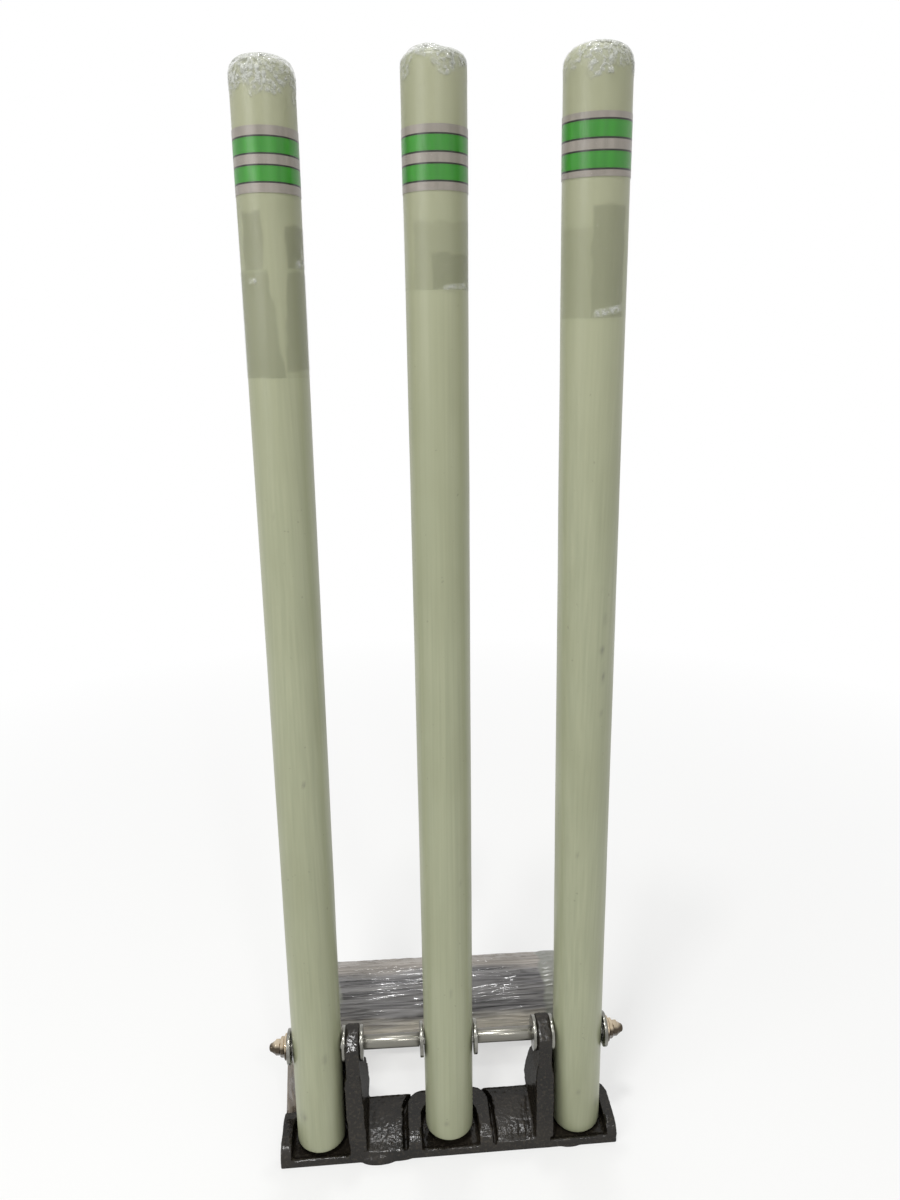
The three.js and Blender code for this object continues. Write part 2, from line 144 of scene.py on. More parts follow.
def add(tree, kind, settings=None, values=None, links=None):
    """Adds a node, sets its settings and its sockets' values, and links outputs into it."""
    node = tree.nodes.new(kind)
    for key, value in (settings or {}).items():
        setattr(node, key, value)
    for key, value in (values or {}).items():
        node.inputs[key].default_value = value
    for key, output in (links or {}).items():
        tree.links.new(output, node.inputs[key])
    return node


def finish_named(name, colour, roughness, metallic=0.0):
    """A new material with its tree and its shader, ready for a pattern."""
    material = bpy.data.materials.new(name)
    material.use_nodes = True
    shader = material.node_tree.nodes["Principled BSDF"]
    shader.inputs["Base Color"].default_value = linear(colour)
    shader.inputs["Roughness"].default_value = roughness
    shader.inputs["Metallic"].default_value = metallic
    return material, material.node_tree, shader


# %% [markdown]
# Almost every surface here varies in some drawn-out way: brush marks run up a stump, film
# creases run along the bar. Each could have its own texture; a noise on object coordinates
# does all of them, if its scale is worked out from the real size of the marks. The functions
# below stand for such a pattern, for a tint that it lays over a colour, for a gloss that it
# changes, and for the bumps that it makes.

# %% Drawn-out marks and places
def marks(tree, size, stretch=(1, 1, 1), detail=3.0):
    """A value from 0 to 1 that varies over about size millimetres, longer where stretched."""
    place = add(tree, "ShaderNodeTexCoord").outputs["Object"]
    scale = [1 / (size * MM * share) for share in stretch]
    sized = add(tree, "ShaderNodeMapping", values={"Scale": scale}, links={"Vector": place})
    field = add(tree, "ShaderNodeTexNoise", values={"Scale": 1.0, "Detail": detail},
                links={"Vector": sized.outputs["Vector"]})
    return field.outputs["Fac"]


def coordinates(tree):
    """The place on the object in metres, as the outputs X, Y and Z."""
    place = add(tree, "ShaderNodeTexCoord").outputs["Object"]
    return add(tree, "ShaderNodeSeparateXYZ", links={"Vector": place}).outputs


# %% Tints, gloss and bumps
OFTEN_LOW, OFTEN_HIGH = 0.3, 0.7  # most values of a noise lie between these two


def tinted(tree, colour, value, low, high, tint, most=1.0):
    """The colour, which turns to the tint, or a share of it, as a value goes from low to high."""
    share = add(tree, "ShaderNodeMapRange",
                values={"From Min": low, "From Max": high, "To Max": most},
                links={"Value": value})
    mix = add(tree, "ShaderNodeMix", settings={"data_type": "RGBA"},
              links={0: share.outputs["Result"]})
    for socket, paint in ((6, colour), (7, tint)):
        if isinstance(paint, str):
            mix.inputs[socket].default_value = linear(paint)
        else:
            tree.links.new(paint, mix.inputs[socket])
    return mix.outputs[2]


def varied(tree, socket, value, start, end, low=OFTEN_LOW, high=OFTEN_HIGH):
    """Takes a socket from start to end as a value goes from low to high."""
    share = add(tree, "ShaderNodeMapRange", links={"Value": value},
                values={"From Min": low, "From Max": high, "To Min": start, "To Max": end})
    tree.links.new(share.outputs["Result"], socket)


def embossed(tree, shader, *layers):
    """Bumps over bumps on a shader: each layer is (height, depth in millimetres, strength)."""
    normal = None
    for height, depth, strength in layers:
        bump = add(tree, "ShaderNodeBump", values={"Distance": depth * MM, "Strength": strength},
                   links={"Height": height})
        if normal is not None:
            tree.links.new(normal, bump.inputs["Normal"])
        normal = bump.outputs["Normal"]
    for socket in ("Normal", "Coat Normal"):
        tree.links.new(normal, shader.inputs[socket])


# %% [markdown]
# ## Painted wood
# A stump is ash or a like hardwood, turned on a lathe and brushed with a pale green-cream
# gloss enamel. The enamel gives a soft sheen, faint marks along the brush's way, and a few
# dark specks and rubbed places. Marks, clouds and specks are three noises of different size
# and stretch. The scuffs are an attribute of the mesh, because each has its own place.

# %% Finish: brushed enamel on turned wood
def painted_wood():
    brush_width, brush_length_share, brush_depth = 1.8, 70, 0.04
    cloud_size, freckle_size = 30, 3.2
    flow_size, flow_depth = 1.6, 0.02  # of the paint's uneven flow
    # Painted sheen: the paint turns creamier towards the tops, for the sheen of the film and the
    # nearer lamps there.
    painted_sheen_start, painted_sheen_full = 0.45, 0.68  # metres up: the paint looks creamier under the film
    material, tree, shader = finish_named("brushed_enamel", "#989c80", 0.36)
    brushed = marks(tree, brush_width, (1, 1, brush_length_share), detail=4)
    clouds = marks(tree, cloud_size, (1, 1, 3))
    freckles = marks(tree, freckle_size, detail=1)
    height = coordinates(tree)["Z"]
    scuff = add(tree, "ShaderNodeAttribute", settings={"attribute_name": "scuff"}).outputs["Fac"]
    colour = tinted(tree, "#93977c", brushed, OFTEN_LOW, OFTEN_HIGH, "#9da084")
    colour = tinted(tree, colour, height, painted_sheen_start, painted_sheen_full, "#9b9c80", 0.8)
    colour = tinted(tree, colour, clouds, 0.42, 0.72, "#8a8d70", 0.5)
    colour = tinted(tree, colour, freckles, 0.74, 0.8, "#7b7d68", 0.5)
    colour = tinted(tree, colour, scuff, 0, 1, "#5f6157", 0.6)
    tree.links.new(colour, shader.inputs["Base Color"])
    varied(tree, shader.inputs["Roughness"], clouds, 0.3, 0.44)
    embossed(tree, shader, (marks(tree, flow_size), flow_depth, 1.0), (brushed, brush_depth, 0.6))
    return material


# %% [markdown]
# ## Cast iron under gloss paint
# The base is sand-cast grey iron, dipped in near-black paint. Sand leaves a pitted skin, and
# paint makes each grain's top shine, so the metal itself is never seen. A plain glossy black
# would mirror the whole room; here the dull dark body has no gloss of its own, and all of it
# is in the coat, which stays weak at a flat glance, as paint on a rough skin does. The grains
# are drawn at twice their real millimetre, because finer ones would vanish between the
# pixels, and their slopes stay small, because steep ones throw the lamps' light away.

# %% Finish: sand-cast iron in black gloss
def black_casting():
    grain, pit, patch, skin_depth = 2.1, 5.0, 26, 0.25
    material, tree, shader = finish_named("gloss_black_on_sand_casting", "#171412", 0.6)
    shader.inputs["Specular IOR Level"].default_value = 0
    shader.inputs["Coat Weight"].default_value = 0.15
    shader.inputs["Coat IOR"].default_value = 2.6
    patches = marks(tree, patch)
    grains = marks(tree, grain, detail=2)
    colour = tinted(tree, "#151310", patches, 0.35, 0.65, "#24201b")
    colour = tinted(tree, colour, grains, 0.52, 0.72, "#3f392f", 0.6)
    tree.links.new(colour, shader.inputs["Base Color"])
    varied(tree, shader.inputs["Coat Roughness"], patches, 0.14, 0.24)
    embossed(tree, shader, (marks(tree, pit), skin_depth, 1.0), (grains, skin_depth, 1.0))
    return material


# %% [markdown]
# ## Plated steel
# The washers, tubes and bolts are mild steel with bright zinc; the nuts have a warmer nickel;
# the springs are drawn wire. All three are metals, so their colour is the colour of their
# reflections. Turning or drawing leaves fine lines, and handling leaves dull clouds. The nuts
# get painted shade: their colour turns dark below a height over the ground, for the shade on
# their undersides. One function makes all four, because only the values differ.

# %% Finishes: zinc, nickel and spring wire
# Painted shade on the nuts: their colour turns dark from the first height down to the second.
PAINTED_SHADE_STARTS, PAINTED_SHADE_FULL = 91.3, 89.6  # heights on the nuts, whose middle is at 87


def plated(name, colour, dull, roughness, line_stretch=(1, 1, 1), line_depth=0.012, under=None):
    line_width, line_strength, cloud_size = 0.5, 0.4, 7
    smoothest, roughest = 0.8, 1.3  # shares of the roughness
    material, tree, shader = finish_named(name, colour, roughness, metallic=1.0)
    clouds = marks(tree, cloud_size, line_stretch)
    tone = tinted(tree, colour, clouds, 0.35, 0.7, dull)
    # Painted shade: the nuts turn dark below a height over the ground, for the shade on their
    # undersides.
    if under:
        height = coordinates(tree)["Z"]
        tone = tinted(tree, tone, height, PAINTED_SHADE_STARTS * MM, PAINTED_SHADE_FULL * MM, under)
    tree.links.new(tone, shader.inputs["Base Color"])
    varied(tree, shader.inputs["Roughness"], clouds, roughness * smoothest, roughness * roughest)
    embossed(tree, shader, (marks(tree, line_width, line_stretch), line_depth, line_strength))
    return material


# %% [markdown]
# ## Label film and clear film
# The labels are printed on silver-grey film: a calm satin surface, whose tone streaks up and
# down in a painted sheen. Clear stretch film is wound over each stump's top and many times
# round the bar. One layer is nearly unseen but for its gloss; where it is gathered it turns
# milky and its creases catch the light. Glass with real refraction would do, at a high price in
# time; a see-through share looks the same on film this thin. How gathered it is at each place,
# and how many layers there are, are attributes of the mesh, which drive how much the film hides.

# %% Finishes: silver label, printed stripes
def label_film(name, colour, cloud):
    cloud_size, cloud_stretch = 5, (1, 1, 12)
    material, tree, shader = finish_named(name, colour, 0.32)
    # Painted sheen: the tone streaks up and down the band.
    clouds = marks(tree, cloud_size, cloud_stretch)
    tree.links.new(tinted(tree, colour, clouds, OFTEN_LOW, OFTEN_HIGH, cloud),
                   shader.inputs["Base Color"])
    return material


# %% Finish: clear stretch film
def clear_film():
    bubble, bubble_depth = 1.0, 0.5
    crease, crease_depth, strength = 2.4, 0.9, 0.9
    each_hides, one_hides = 0.13, 0.02  # shares: of each further layer, and of the first
    material, tree, shader = finish_named("clear_stretch_film", "#c9ccc6", 0.07)
    fold = add(tree, "ShaderNodeAttribute", settings={"attribute_name": "fold"}).outputs["Fac"]
    layers = add(tree, "ShaderNodeAttribute", settings={"attribute_name": "layers"})
    milky = marks(tree, crease, detail=4)
    milk_share = add(tree, "ShaderNodeMapRange", links={"Value": milky},
                     values={"From Min": 0.44, "From Max": 0.64, "To Min": 0.12, "To Max": 0.78})
    gathered = add(tree, "ShaderNodeMath", settings={"operation": "MULTIPLY"},
                   links={0: fold, 1: milk_share.outputs["Result"]})
    stacked = add(tree, "ShaderNodeMath", settings={"operation": "MULTIPLY_ADD"},
                  values={1: each_hides, 2: one_hides}, links={0: layers.outputs["Fac"]})
    hides = add(tree, "ShaderNodeMath", settings={"operation": "MAXIMUM"},
                links={0: gathered.outputs[0], 1: stacked.outputs[0]})
    tree.links.new(hides.outputs[0], shader.inputs["Alpha"])
    tree.links.new(tinted(tree, "#6d7058", fold, 0.05, 0.3, "#c6c8c0"),
                   shader.inputs["Base Color"])
    embossed(tree, shader, (marks(tree, bubble, detail=1), bubble_depth, strength),
             (milky, crease_depth, strength))
    return material


# %% Finish: a loose tail of film
def loose_film():
    crease, crease_stretch, crease_depth = 3, (1, 1, 8), 0.6
    material, tree, shader = finish_named("dusty_loose_film", "#786d63", 0.16)
    drawn = marks(tree, crease, crease_stretch)
    tree.links.new(tinted(tree, "#6f645a", drawn, 0.45, 0.75, "#a0968b"),
                   shader.inputs["Base Color"])
    varied(tree, shader.inputs["Alpha"], drawn, 0.6, 0.85, low=0.35, high=0.65)
    embossed(tree, shader, (drawn, crease_depth, 0.8))
    return material


# %% [markdown]
# Round the bar the film lies in many turns over black iron, so it reads as slate grey. The
# paler band on top and the beige one low in front are painted reflections: of the light from
# above, and of the lit floor. The bands could be painted on an unrolled map; they follow the
# angle round the bar instead, which two object coordinates give through an arctangent, and a
# noise lets their edges wander.

# %% Where the wound film is
bar_low, bar_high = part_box("bar_film")
bar_centre = (bar_low + bar_high) / 2
bar_radius = (bar_high.z - bar_low.z) / 2
bar_half = (bar_high.x - bar_low.x) / 2
print("film on the bar: radius", round(bar_radius / MM, 1), "mm, half length",
      round(bar_half / MM, 1), "mm")


def angle_round_bar(tree, place):
    """The angle from the front upwards, in radians, round the bar's own axis."""
    rise = add(tree, "ShaderNodeMath", settings={"operation": "SUBTRACT"},
               values={1: bar_centre.z}, links={0: place["Z"]})
    front = add(tree, "ShaderNodeMath", settings={"operation": "SUBTRACT"},
                values={0: bar_centre.y}, links={1: place["Y"]})
    return add(tree, "ShaderNodeMath", settings={"operation": "ARCTAN2"},
               links={0: rise.outputs[0], 1: front.outputs[0]}).outputs[0]


# %% Finish: stretch film in many turns over iron
def wound_film():
    streak_width, streak_stretch, streak_depth = 1.2, (45, 1, 1), 0.14
    band_width, band_stretch = 5, (16, 1, 1)
    wander_size, wander_stretch, wander_reach = 12, (5, 1, 1), 0.7  # the reach in radians
    tear_size, tear_reach = 22, 16  # how far the end patch's edge is from straight
    patch_start, patch_full = 9, 6.5  # from the bar's end
    material, tree, shader = finish_named("stretch_film_in_many_turns", "#6d6c72", 0.08)
    place = coordinates(tree)
    wander = add(tree, "ShaderNodeMath", settings={"operation": "MULTIPLY_ADD"},
                 values={1: wander_reach},
                 links={0: marks(tree, wander_size, wander_stretch),
                        2: angle_round_bar(tree, place)})
    end = add(tree, "ShaderNodeMath", settings={"operation": "ABSOLUTE"}, links={0: place["X"]})
    ragged = add(tree, "ShaderNodeMath", settings={"operation": "MULTIPLY_ADD"},
                 values={1: tear_reach * MM},
                 links={0: marks(tree, tear_size, detail=1), 2: end.outputs[0]})
    streaks = marks(tree, streak_width, streak_stretch, detail=5)
    bands = marks(tree, band_width, band_stretch, detail=2)
    slate = tinted(tree, "#434243", streaks, 0.36, 0.6, "#7b797a")
    slate = tinted(tree, slate, bands, 0.42, 0.7, "#9c9a99", 0.7)
    # Painted reflections: pale where the film faces the light from above, beige low in front
    # where it faces the lit floor.
    pale = tinted(tree, "#807a74", streaks, 0.34, 0.64, "#aaa39b")
    beige = tinted(tree, "#b9b1a4", streaks, 0.34, 0.64, "#ded7c9")
    colour = slate
    for start, full, tint in ((101, 113, pale), (150, 165, slate), (38, 24, beige),
                              (-30, -45, slate)):  # degrees round the bar
        colour = tinted(tree, colour, wander.outputs[0], math.radians(start),
                        math.radians(full), tint)
    colour = tinted(tree, colour, ragged.outputs[0], bar_half - patch_start * MM,
                    bar_half - patch_full * MM, "#85867f")
    tree.links.new(colour, shader.inputs["Base Color"])
    embossed(tree, shader, (streaks, streak_depth, 0.6))
    return material


# %% Make the finishes
wood = painted_wood()
iron = black_casting()
zinc = plated("bright_zinc_on_steel", "#8f8e87", "#73726c", 0.24)
tube_zinc = plated("bright_zinc_on_drawn_tube", "#85837b", "#74726b", 0.27, (60, 1, 1),
                   line_depth=0.003)
# The nuts' last colour is painted shade on their undersides.
nickel = plated("warm_nickel_on_steel", "#cfc0a8", "#a39681", 0.17, under="#4f473c")
spring_wire = plated("drawn_spring_wire", "#85868a", "#66676b", 0.26, (1, 12, 1))
silver = label_film("silver_label_film", "#958e86", "#817b73")
leaf_green = label_film("green_print", "#338a27", "#297620")
ink_black = label_film("black_print", "#14130f", "#1c1a16")
film = clear_film()
tail_film = loose_film()
bar_wrap = wound_film()
print("finishes made:", len(bpy.data.materials))

# %% [markdown]
# ## Tools for shapes
# Nearly everything here was turned, drawn or bent. Primitives could stand in for much of it,
# but their edges would be too plain, so three tools make most pieces as their makers do: an
# outline spun round an axis, a wire bent along points, and a boolean of two shapes. A bevel
# on the sharp edges afterwards is what makes them catch the light as worked metal does.

# %% Spin an outline, soften its edges, lay it along the axle
SOFTENED_ANGLE = math.radians(30)
ALONG_X = Matrix.Rotation(math.pi / 2, 4, "Y")  # lays what was spun round Z along X


def in_set_order(shape):
    """The same corners and faces, made afresh in the order of their numbers.

    A spin leaves its faces and the ends of its edges in an order that changes from run to
    run, and the edges that are softened later would follow it.
    """
    shape.verts.index_update()
    fresh = bmesh.new()
    corners = [fresh.verts.new(corner.co) for corner in shape.verts]
    for face in sorted([corner.index for corner in face.verts] for face in shape.faces):
        fresh.faces.new([corners[index] for index in face])
    shape.free()
    return fresh


def turned(outline, steps, closed=False):
    """The outline, (radius, height) pairs in millimetres, spun once round Z."""
    shape = bmesh.new()
    corners = [shape.verts.new((radius * MM, 0, height * MM)) for radius, height in outline]
    edges = [shape.edges.new(pair) for pair in zip(corners, corners[1:])]
    if closed:
        edges.append(shape.edges.new((corners[-1], corners[0])))
    bmesh.ops.spin(shape, geom=corners + edges, cent=(0, 0, 0), axis=(0, 0, 1),
                   angle=FULL_TURN, steps=steps, use_merge=True)
    shape = in_set_order(shape)
    bmesh.ops.remove_doubles(shape, verts=shape.verts, dist=MM / 1000)
    bmesh.ops.recalc_face_normals(shape, faces=shape.faces)
    return shape


def soften(shape, width):
    """Rounds every edge where two faces meet at a clear angle."""
    sharp = [edge for edge in shape.edges
             if edge.is_manifold and edge.calc_face_angle() > SOFTENED_ANGLE]
    bmesh.ops.bevel(shape, geom=sharp, offset=width * MM, offset_type="OFFSET", segments=2,
                    profile=0.5, affect="EDGES", clamp_overlap=True, material=-1)
    return shape


def moved(shape, matrix):
    """The shape, put through a matrix; a mirrored one has its faces turned outwards again."""
    bmesh.ops.transform(shape, matrix=matrix, verts=shape.verts)
    if matrix.determinant() < 0:
        bmesh.ops.reverse_faces(shape, faces=shape.faces)
    return shape


# %% Turn a shape into a piece that rides on a body
SHARP_ANGLE = math.radians(40)


def mesh_object(name, shape, materials=()):
    """An object at the origin whose mesh holds the shape, smooth but for its sharp edges."""
    mesh = bpy.data.meshes.new(name)
    shape.to_mesh(mesh)
    shape.free()
    for material in materials:
        mesh.materials.append(material)
    mesh.shade_smooth()
    mesh.set_sharp_from_angle(angle=SHARP_ANGLE)
    made = bpy.data.objects.new(name, mesh)
    scene.collection.objects.link(made)
    return made


def piece(name, shape, material, body, stands_for=()):
    """Puts a finished shape in the scene, on its body, in place of the nodes it stands for."""
    materials = material if isinstance(material, tuple) else (material,)
    made = mesh_object(name, shape, materials)
    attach(made, body)
    if stands_for:
        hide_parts(*stands_for)
    return made


# %% Combine two closed shapes
def combined(first, second, operation):
    """The UNION, DIFFERENCE or INTERSECT of two closed shapes."""
    holders = [mesh_object("first", first), mesh_object("second", second)]
    modifier = holders[0].modifiers.new("combine", "BOOLEAN")
    modifier.operation = operation
    modifier.solver = "EXACT"
    modifier.object = holders[1]
    result = bmesh.new()
    result.from_object(holders[0], bpy.context.evaluated_depsgraph_get())
    for holder in holders:
        used = holder.data
        bpy.data.objects.remove(holder)
        bpy.data.meshes.remove(used)
    return result


# %% Bend a wire through points
def bent_wire(points, radius):
    """A closed round wire through points in metres."""
    line = bpy.data.curves.new("wire", "CURVE")
    line.dimensions = "3D"
    line.bevel_depth = radius * MM
    line.bevel_resolution = 4
    line.use_fill_caps = True
    spline = line.splines.new("POLY")
    spline.points.add(len(points) - 1)
    for corner, point in zip(spline.points, points):
        corner.co = (*point, 1)
    holder = bpy.data.objects.new("wire", line)
    scene.collection.objects.link(holder)
    mesh = bpy.data.meshes.new_from_object(
        holder.evaluated_get(bpy.context.evaluated_depsgraph_get()))
    shape = bmesh.new()
    shape.from_mesh(mesh)
    bpy.data.objects.remove(holder)
    bpy.data.curves.remove(line)
    bpy.data.meshes.remove(mesh)
    bmesh.ops.remove_doubles(shape, verts=shape.verts, dist=MM / 1000)
    bmesh.ops.recalc_face_normals(shape, faces=shape.faces)
    return shape


# %% [markdown]
# ## Where each stump stands
# The stumps rest at slight leans. The leans could be typed in, but would then have to be kept
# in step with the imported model. A hinge's place is on its stump's axis, and so is the middle
# of its label band, so those two points give the lean without a number from outside.

# %% Each stump's own frame
def stump_frame(side):
    """The matrix from a stump upright on the origin to its place, and its lowest and highest
    height over the axle, in millimetres."""
    hinge = next(Vector(j["pos_m"]) for j in frame["joints"] if j["child"] == f"{side}_stump")
    band = frame["nodes"][f"label_band_{side}"].data.vertices
    up = (sum((v.co for v in band), Vector()) / len(band) - hinge).normalized()
    sideways = Matrix.Rotation(math.asin(up.x), 4, "Y")
    back = Matrix.Rotation(-math.atan2(up.y, up.z), 4, "X")
    wood_points = frame["nodes"][f"stump_{side}"].data.vertices
    heights = [up.dot(v.co - hinge) / MM for v in wood_points]
    return Matrix.Translation(hinge) @ back @ sideways, min(heights), max(heights)


STUMP_RADIUS = 17.4
stump_frames = {side: stump_frame(side) for side in SIDES}
for side, (_, low, high) in stump_frames.items():
    print(side, "stump from", round(low, 1), "to", round(high, 1), "mm over the axle")

# %% [markdown]
# ## Stumps
# A stump is one turned post, drilled across for the axle. A cylinder with a beveled top would
# come close, but each real dome has its own fullness, so an outline is spun: a long straight
# side between a small round at the foot and a full dome at the top. A lathe and a brush never
# leave it perfectly even, so the rings of the spun shape are moved in and out by a tenth of a
# millimetre over a hand's breadth.

# %% The stump's outline
FOOT_EDGE = 2.0
DOMES = {  # (height, fullness) of each dome: fullness 1 is an ellipse, less is squarer
    "left": (12.5, 0.76),
    "middle": (10.1, 0.56),
    "right": (12.1, 0.78),
}
RING_STEP = 3.5
STUMP_STEPS, FOOT_STEPS, DOME_STEPS = 96, 4, 24


def dome_outline(height, fullness, high, steps):
    """A dome's outline from its shoulder up to its top."""
    outline = []
    for i in range(steps + 1):
        angle = math.pi / 2 * i / steps
        radius = STUMP_RADIUS * math.cos(angle) ** fullness if i < steps else 0
        outline.append((radius, high - height * (1 - math.sin(angle) ** fullness)))
    return outline


def stump_outline(side, low, high):
    outline = [(0, low)]
    for i in range(FOOT_STEPS + 1):
        angle = math.pi / 2 * i / FOOT_STEPS
        outline.append((STUMP_RADIUS - FOOT_EDGE * (1 - math.sin(angle)),
                        low + FOOT_EDGE * (1 - math.cos(angle))))
    straight = high - DOMES[side][0] - low - FOOT_EDGE
    rings = round(straight / RING_STEP)
    outline += [(STUMP_RADIUS, low + FOOT_EDGE + straight * i / rings) for i in range(1, rings)]
    return outline + dome_outline(*DOMES[side], high, DOME_STEPS)


# %% [markdown]
# Scuffs are few, and each has a place: its height over the ground, its angle round the
# stump from the front towards +X, and its size. A noise would scatter them anywhere, so a
# vertex near one takes a share of it, broken up so that the rub has no clean edge.

# %% Scuffs on the paint
AXLE_HEIGHT = frame["joints"][0]["pos_m"][2] / MM
SCUFFS = {  # (height, angle in degrees, width, length)
    "left": [(38, -38, 5, 6), (88, 22, 3, 5), (300, 10, 1.6, 2), (470, -20, 1.2, 2)],
    "middle": [(26, -10, 3, 2), (225, 30, 1.4, 2), (402, -24, 1.2, 2), (140, 5, 2, 3)],
    "right": [(46, -6, 3, 2), (30, 48, 5, 5), (412, 28, 2.2, 5), (392, 22, 2.6, 5),
              (376, 26, 2, 8), (350, 24, 2, 3), (430, 20, 1.4, 2), (250, -20, 1.2, 2)],
}


def scuff_share(point, places):
    """How rubbed the paint is at a point of an upright stump, from 0 to 1."""
    share = 0.0
    for height, degrees, width, length in places:
        angle = math.atan2(point.x, -point.y) - math.radians(degrees)
        across = angle * STUMP_RADIUS / width
        along = (point.z / MM + AXLE_HEIGHT - height) / length
        share = max(share, 1 - math.hypot(across, along))
    grain_size, plain_share = 2.5 * MM, 0.75
    return max(0.0, share * (plain_share + noise.noise(point / grain_size)))


# %% Make the stumps
def stump(side):
    matrix, low, high = stump_frames[side]
    shape = turned(stump_outline(side, low, high), STUMP_STEPS)
    waviness, wave_size = 0.1 * MM, 45 * MM
    hole_radius, hole_reach, hole_steps = 4.8, STUMP_RADIUS + 2, 40
    seed = Vector((SIDES.index(side), 0, 0))
    for vertex in shape.verts:
        out = Vector((vertex.co.x, vertex.co.y, 0))
        if out.length > STUMP_RADIUS * MM / 2:
            vertex.co += out.normalized() * waviness * noise.noise(vertex.co / wave_size + seed)
    hole = turned([(0, -hole_reach), (hole_radius, -hole_reach), (hole_radius, hole_reach),
                   (0, hole_reach)], hole_steps)
    moved(hole, ALONG_X)
    shape = combined(shape, hole, "DIFFERENCE")
    scuff = shape.verts.layers.float.new("scuff")
    for vertex in shape.verts:
        vertex[scuff] = scuff_share(vertex.co, SCUFFS[side])
    moved(shape, matrix)
    return piece(f"painted_stump_{side}", shape, wood, f"{side}_stump",
                 (f"stump_{side}",))


for side in SIDES:
    made = stump(side)
    print(made.name, len(made.data.polygons), "faces")

# %% [markdown]
# ## Label bands
# A printed band of silver-grey film runs round each stump under the dome. Its print here is
# plain: two green stripes with black edges. A texture could draw them, but blurs from close
# by; here each row of faces in the spun ring is one stripe, so the edges stay sharp at any
# distance. The band stands a quarter of a millimetre proud.

# %% Make the label bands
STRIPE, STRIPE_EDGE, STRIPE_GAP = 7.4, 0.9, 4.6
LABEL_SEAT, LABEL_WALL = 0.15, 0.12


def label_rows(height):
    """The band's rows from the bottom: how high each is, and which material it takes."""
    margin = (height - 2 * STRIPE - 4 * STRIPE_EDGE - STRIPE_GAP) / 2
    plain, green, black = 0, 1, 2
    stripe = [(STRIPE_EDGE, black), (STRIPE, green), (STRIPE_EDGE, black)]
    return [(margin, plain), *stripe, (STRIPE_GAP, plain), *stripe, (margin, plain)]


def label_band(side):
    matrix, _, _ = stump_frames[side]
    upright = matrix.inverted()
    packed = frame["nodes"][f"label_band_{side}"].data.vertices
    heights = [(upright @ v.co).z / MM for v in packed]
    low, high = min(heights), max(heights)
    rows = label_rows(high - low)
    inner = STUMP_RADIUS + LABEL_SEAT
    levels = [low]
    for row_height, _ in rows:
        levels.append(levels[-1] + row_height)
    outline = [(inner + LABEL_WALL, level) for level in levels]
    shape = turned([*outline, (inner, high), (inner, low)], STUMP_STEPS, closed=True)
    for face in shape.faces:
        level = face.calc_center_median().z / MM
        row = sum(level > top for top in levels[1:-1])
        face.material_index = rows[row][1]
    moved(shape, matrix)
    return piece(f"label_{side}", shape, (silver, leaf_green, ink_black), f"{side}_stump",
                 (f"label_band_{side}",))


for side in SIDES:
    label_band(side)
print("label rows, bottom up:", label_rows(32))

# %% [markdown]
# ## Clear film over the tops
# Each stump's top is wound in clear film that ends a hand's breadth below the label. The
# film hugs the paint: a second layer only darkens it a little, a torn edge puckers, and over
# the dome the film is gathered into milky, shining crinkles. A cloth simulation could drape
# it, but wouldn't tear it where the real film is torn. A spun sleeve whose points are lifted
# by rules does: a place is given by its depth under the top and its angle from the front
# towards +X, so layers, puckers and gathers are drawn as on an unrolled sleeve.

# %% Layers, puckers and gathers, in millimetres and degrees
FILM_DEPTHS = {"left": 162, "middle": 116, "right": 128}
FILM_LAYERS = {  # (top, bottom, (left, right) at the top, the same at the bottom, layers)
    "left": [(76, 105, (-50, -9), (-50, -9), 0.7), (83, 104, (32, 95), (32, 95), 0.9),
             (106, 162, (-100, -3), (-100, 19), 0.65), (106, 158, (31, 110), (21, 110), 0.65)],
    "middle": [(82, 116, (-45, 90), (-45, 90), 0.35), (98, 116, (-12, 72), (-12, 72), 0.9)],
    "right": [(74, 128, (-17, 46), (-17, 46), 0.75), (84, 128, (-80, -17), (-80, -17), 0.3)],
}
FILM_PUCKERS = {  # (depth, left angle, right angle, half width, rise towards the right)
    "left": [(103, 48, 85, 3, 4), (97, 66, 76, 4, 0), (111, -42, -22, 1.6, 0)],
    "middle": [(115, 5, 62, 1.8, 1)],
    "right": [(126, -14, 48, 2.6, 3)],
}
GATHERS = {  # (depth, angle where it is strongest, share elsewhere, how far it stands up)
    "left": (19, -35, 0.65, 0.8),
    "middle": (10, 15, 0.5, 0.2),
    "right": (14, 30, 0.35, 0.1),
}
SLEEVE_FULLNESS = {"left": 0.62, "middle": 0.55, "right": 0.74}  # squarer than the domes below
KNOTS = {"left": (9, -25), "middle": (6, 25), "right": (15, 8)}  # (depth, angle)
print("film ends", FILM_DEPTHS, "mm under the tops")

# %% What the film does at a place
EDGE_SHOWS = 1.6  # how far a layer's edge takes to show
EDGE_WAVERS, EDGE_SWINGS = 1.5, 5  # millimetres up and down, degrees to each side
GATHER_WAVERS, GATHER_STARTS, GATHER_FULL = 8, 3, -4  # millimetres past the gathers' depth
TURNED_AWAY, TURNED_TO = 100, 20  # degrees from the strongest gathers


def ramp(value, start, end):
    """From 0 at start to 1 at end, eased at both."""
    share = max(0.0, min(1.0, (value - start) / (end - start)))
    return share * share * (3 - 2 * share)


def layers_at(side, depth, degrees, wander):
    """How many layers of film lie there, where one alone counts 0."""
    depth += EDGE_WAVERS * wander
    degrees += EDGE_SWINGS * wander
    share = 0.0
    for top, bottom, first, last, layers in FILM_LAYERS[side]:
        t = max(0.0, min(1.0, (depth - top) / (bottom - top)))
        left, right = (first[i] + (last[i] - first[i]) * t for i in (0, 1))
        per_degree = math.radians(STUMP_RADIUS)
        inside = min(depth - top, bottom - depth,
                     (degrees - left) * per_degree, (right - degrees) * per_degree)
        share = max(share, layers * ramp(inside, -EDGE_SHOWS / 2, EDGE_SHOWS / 2))
    return share


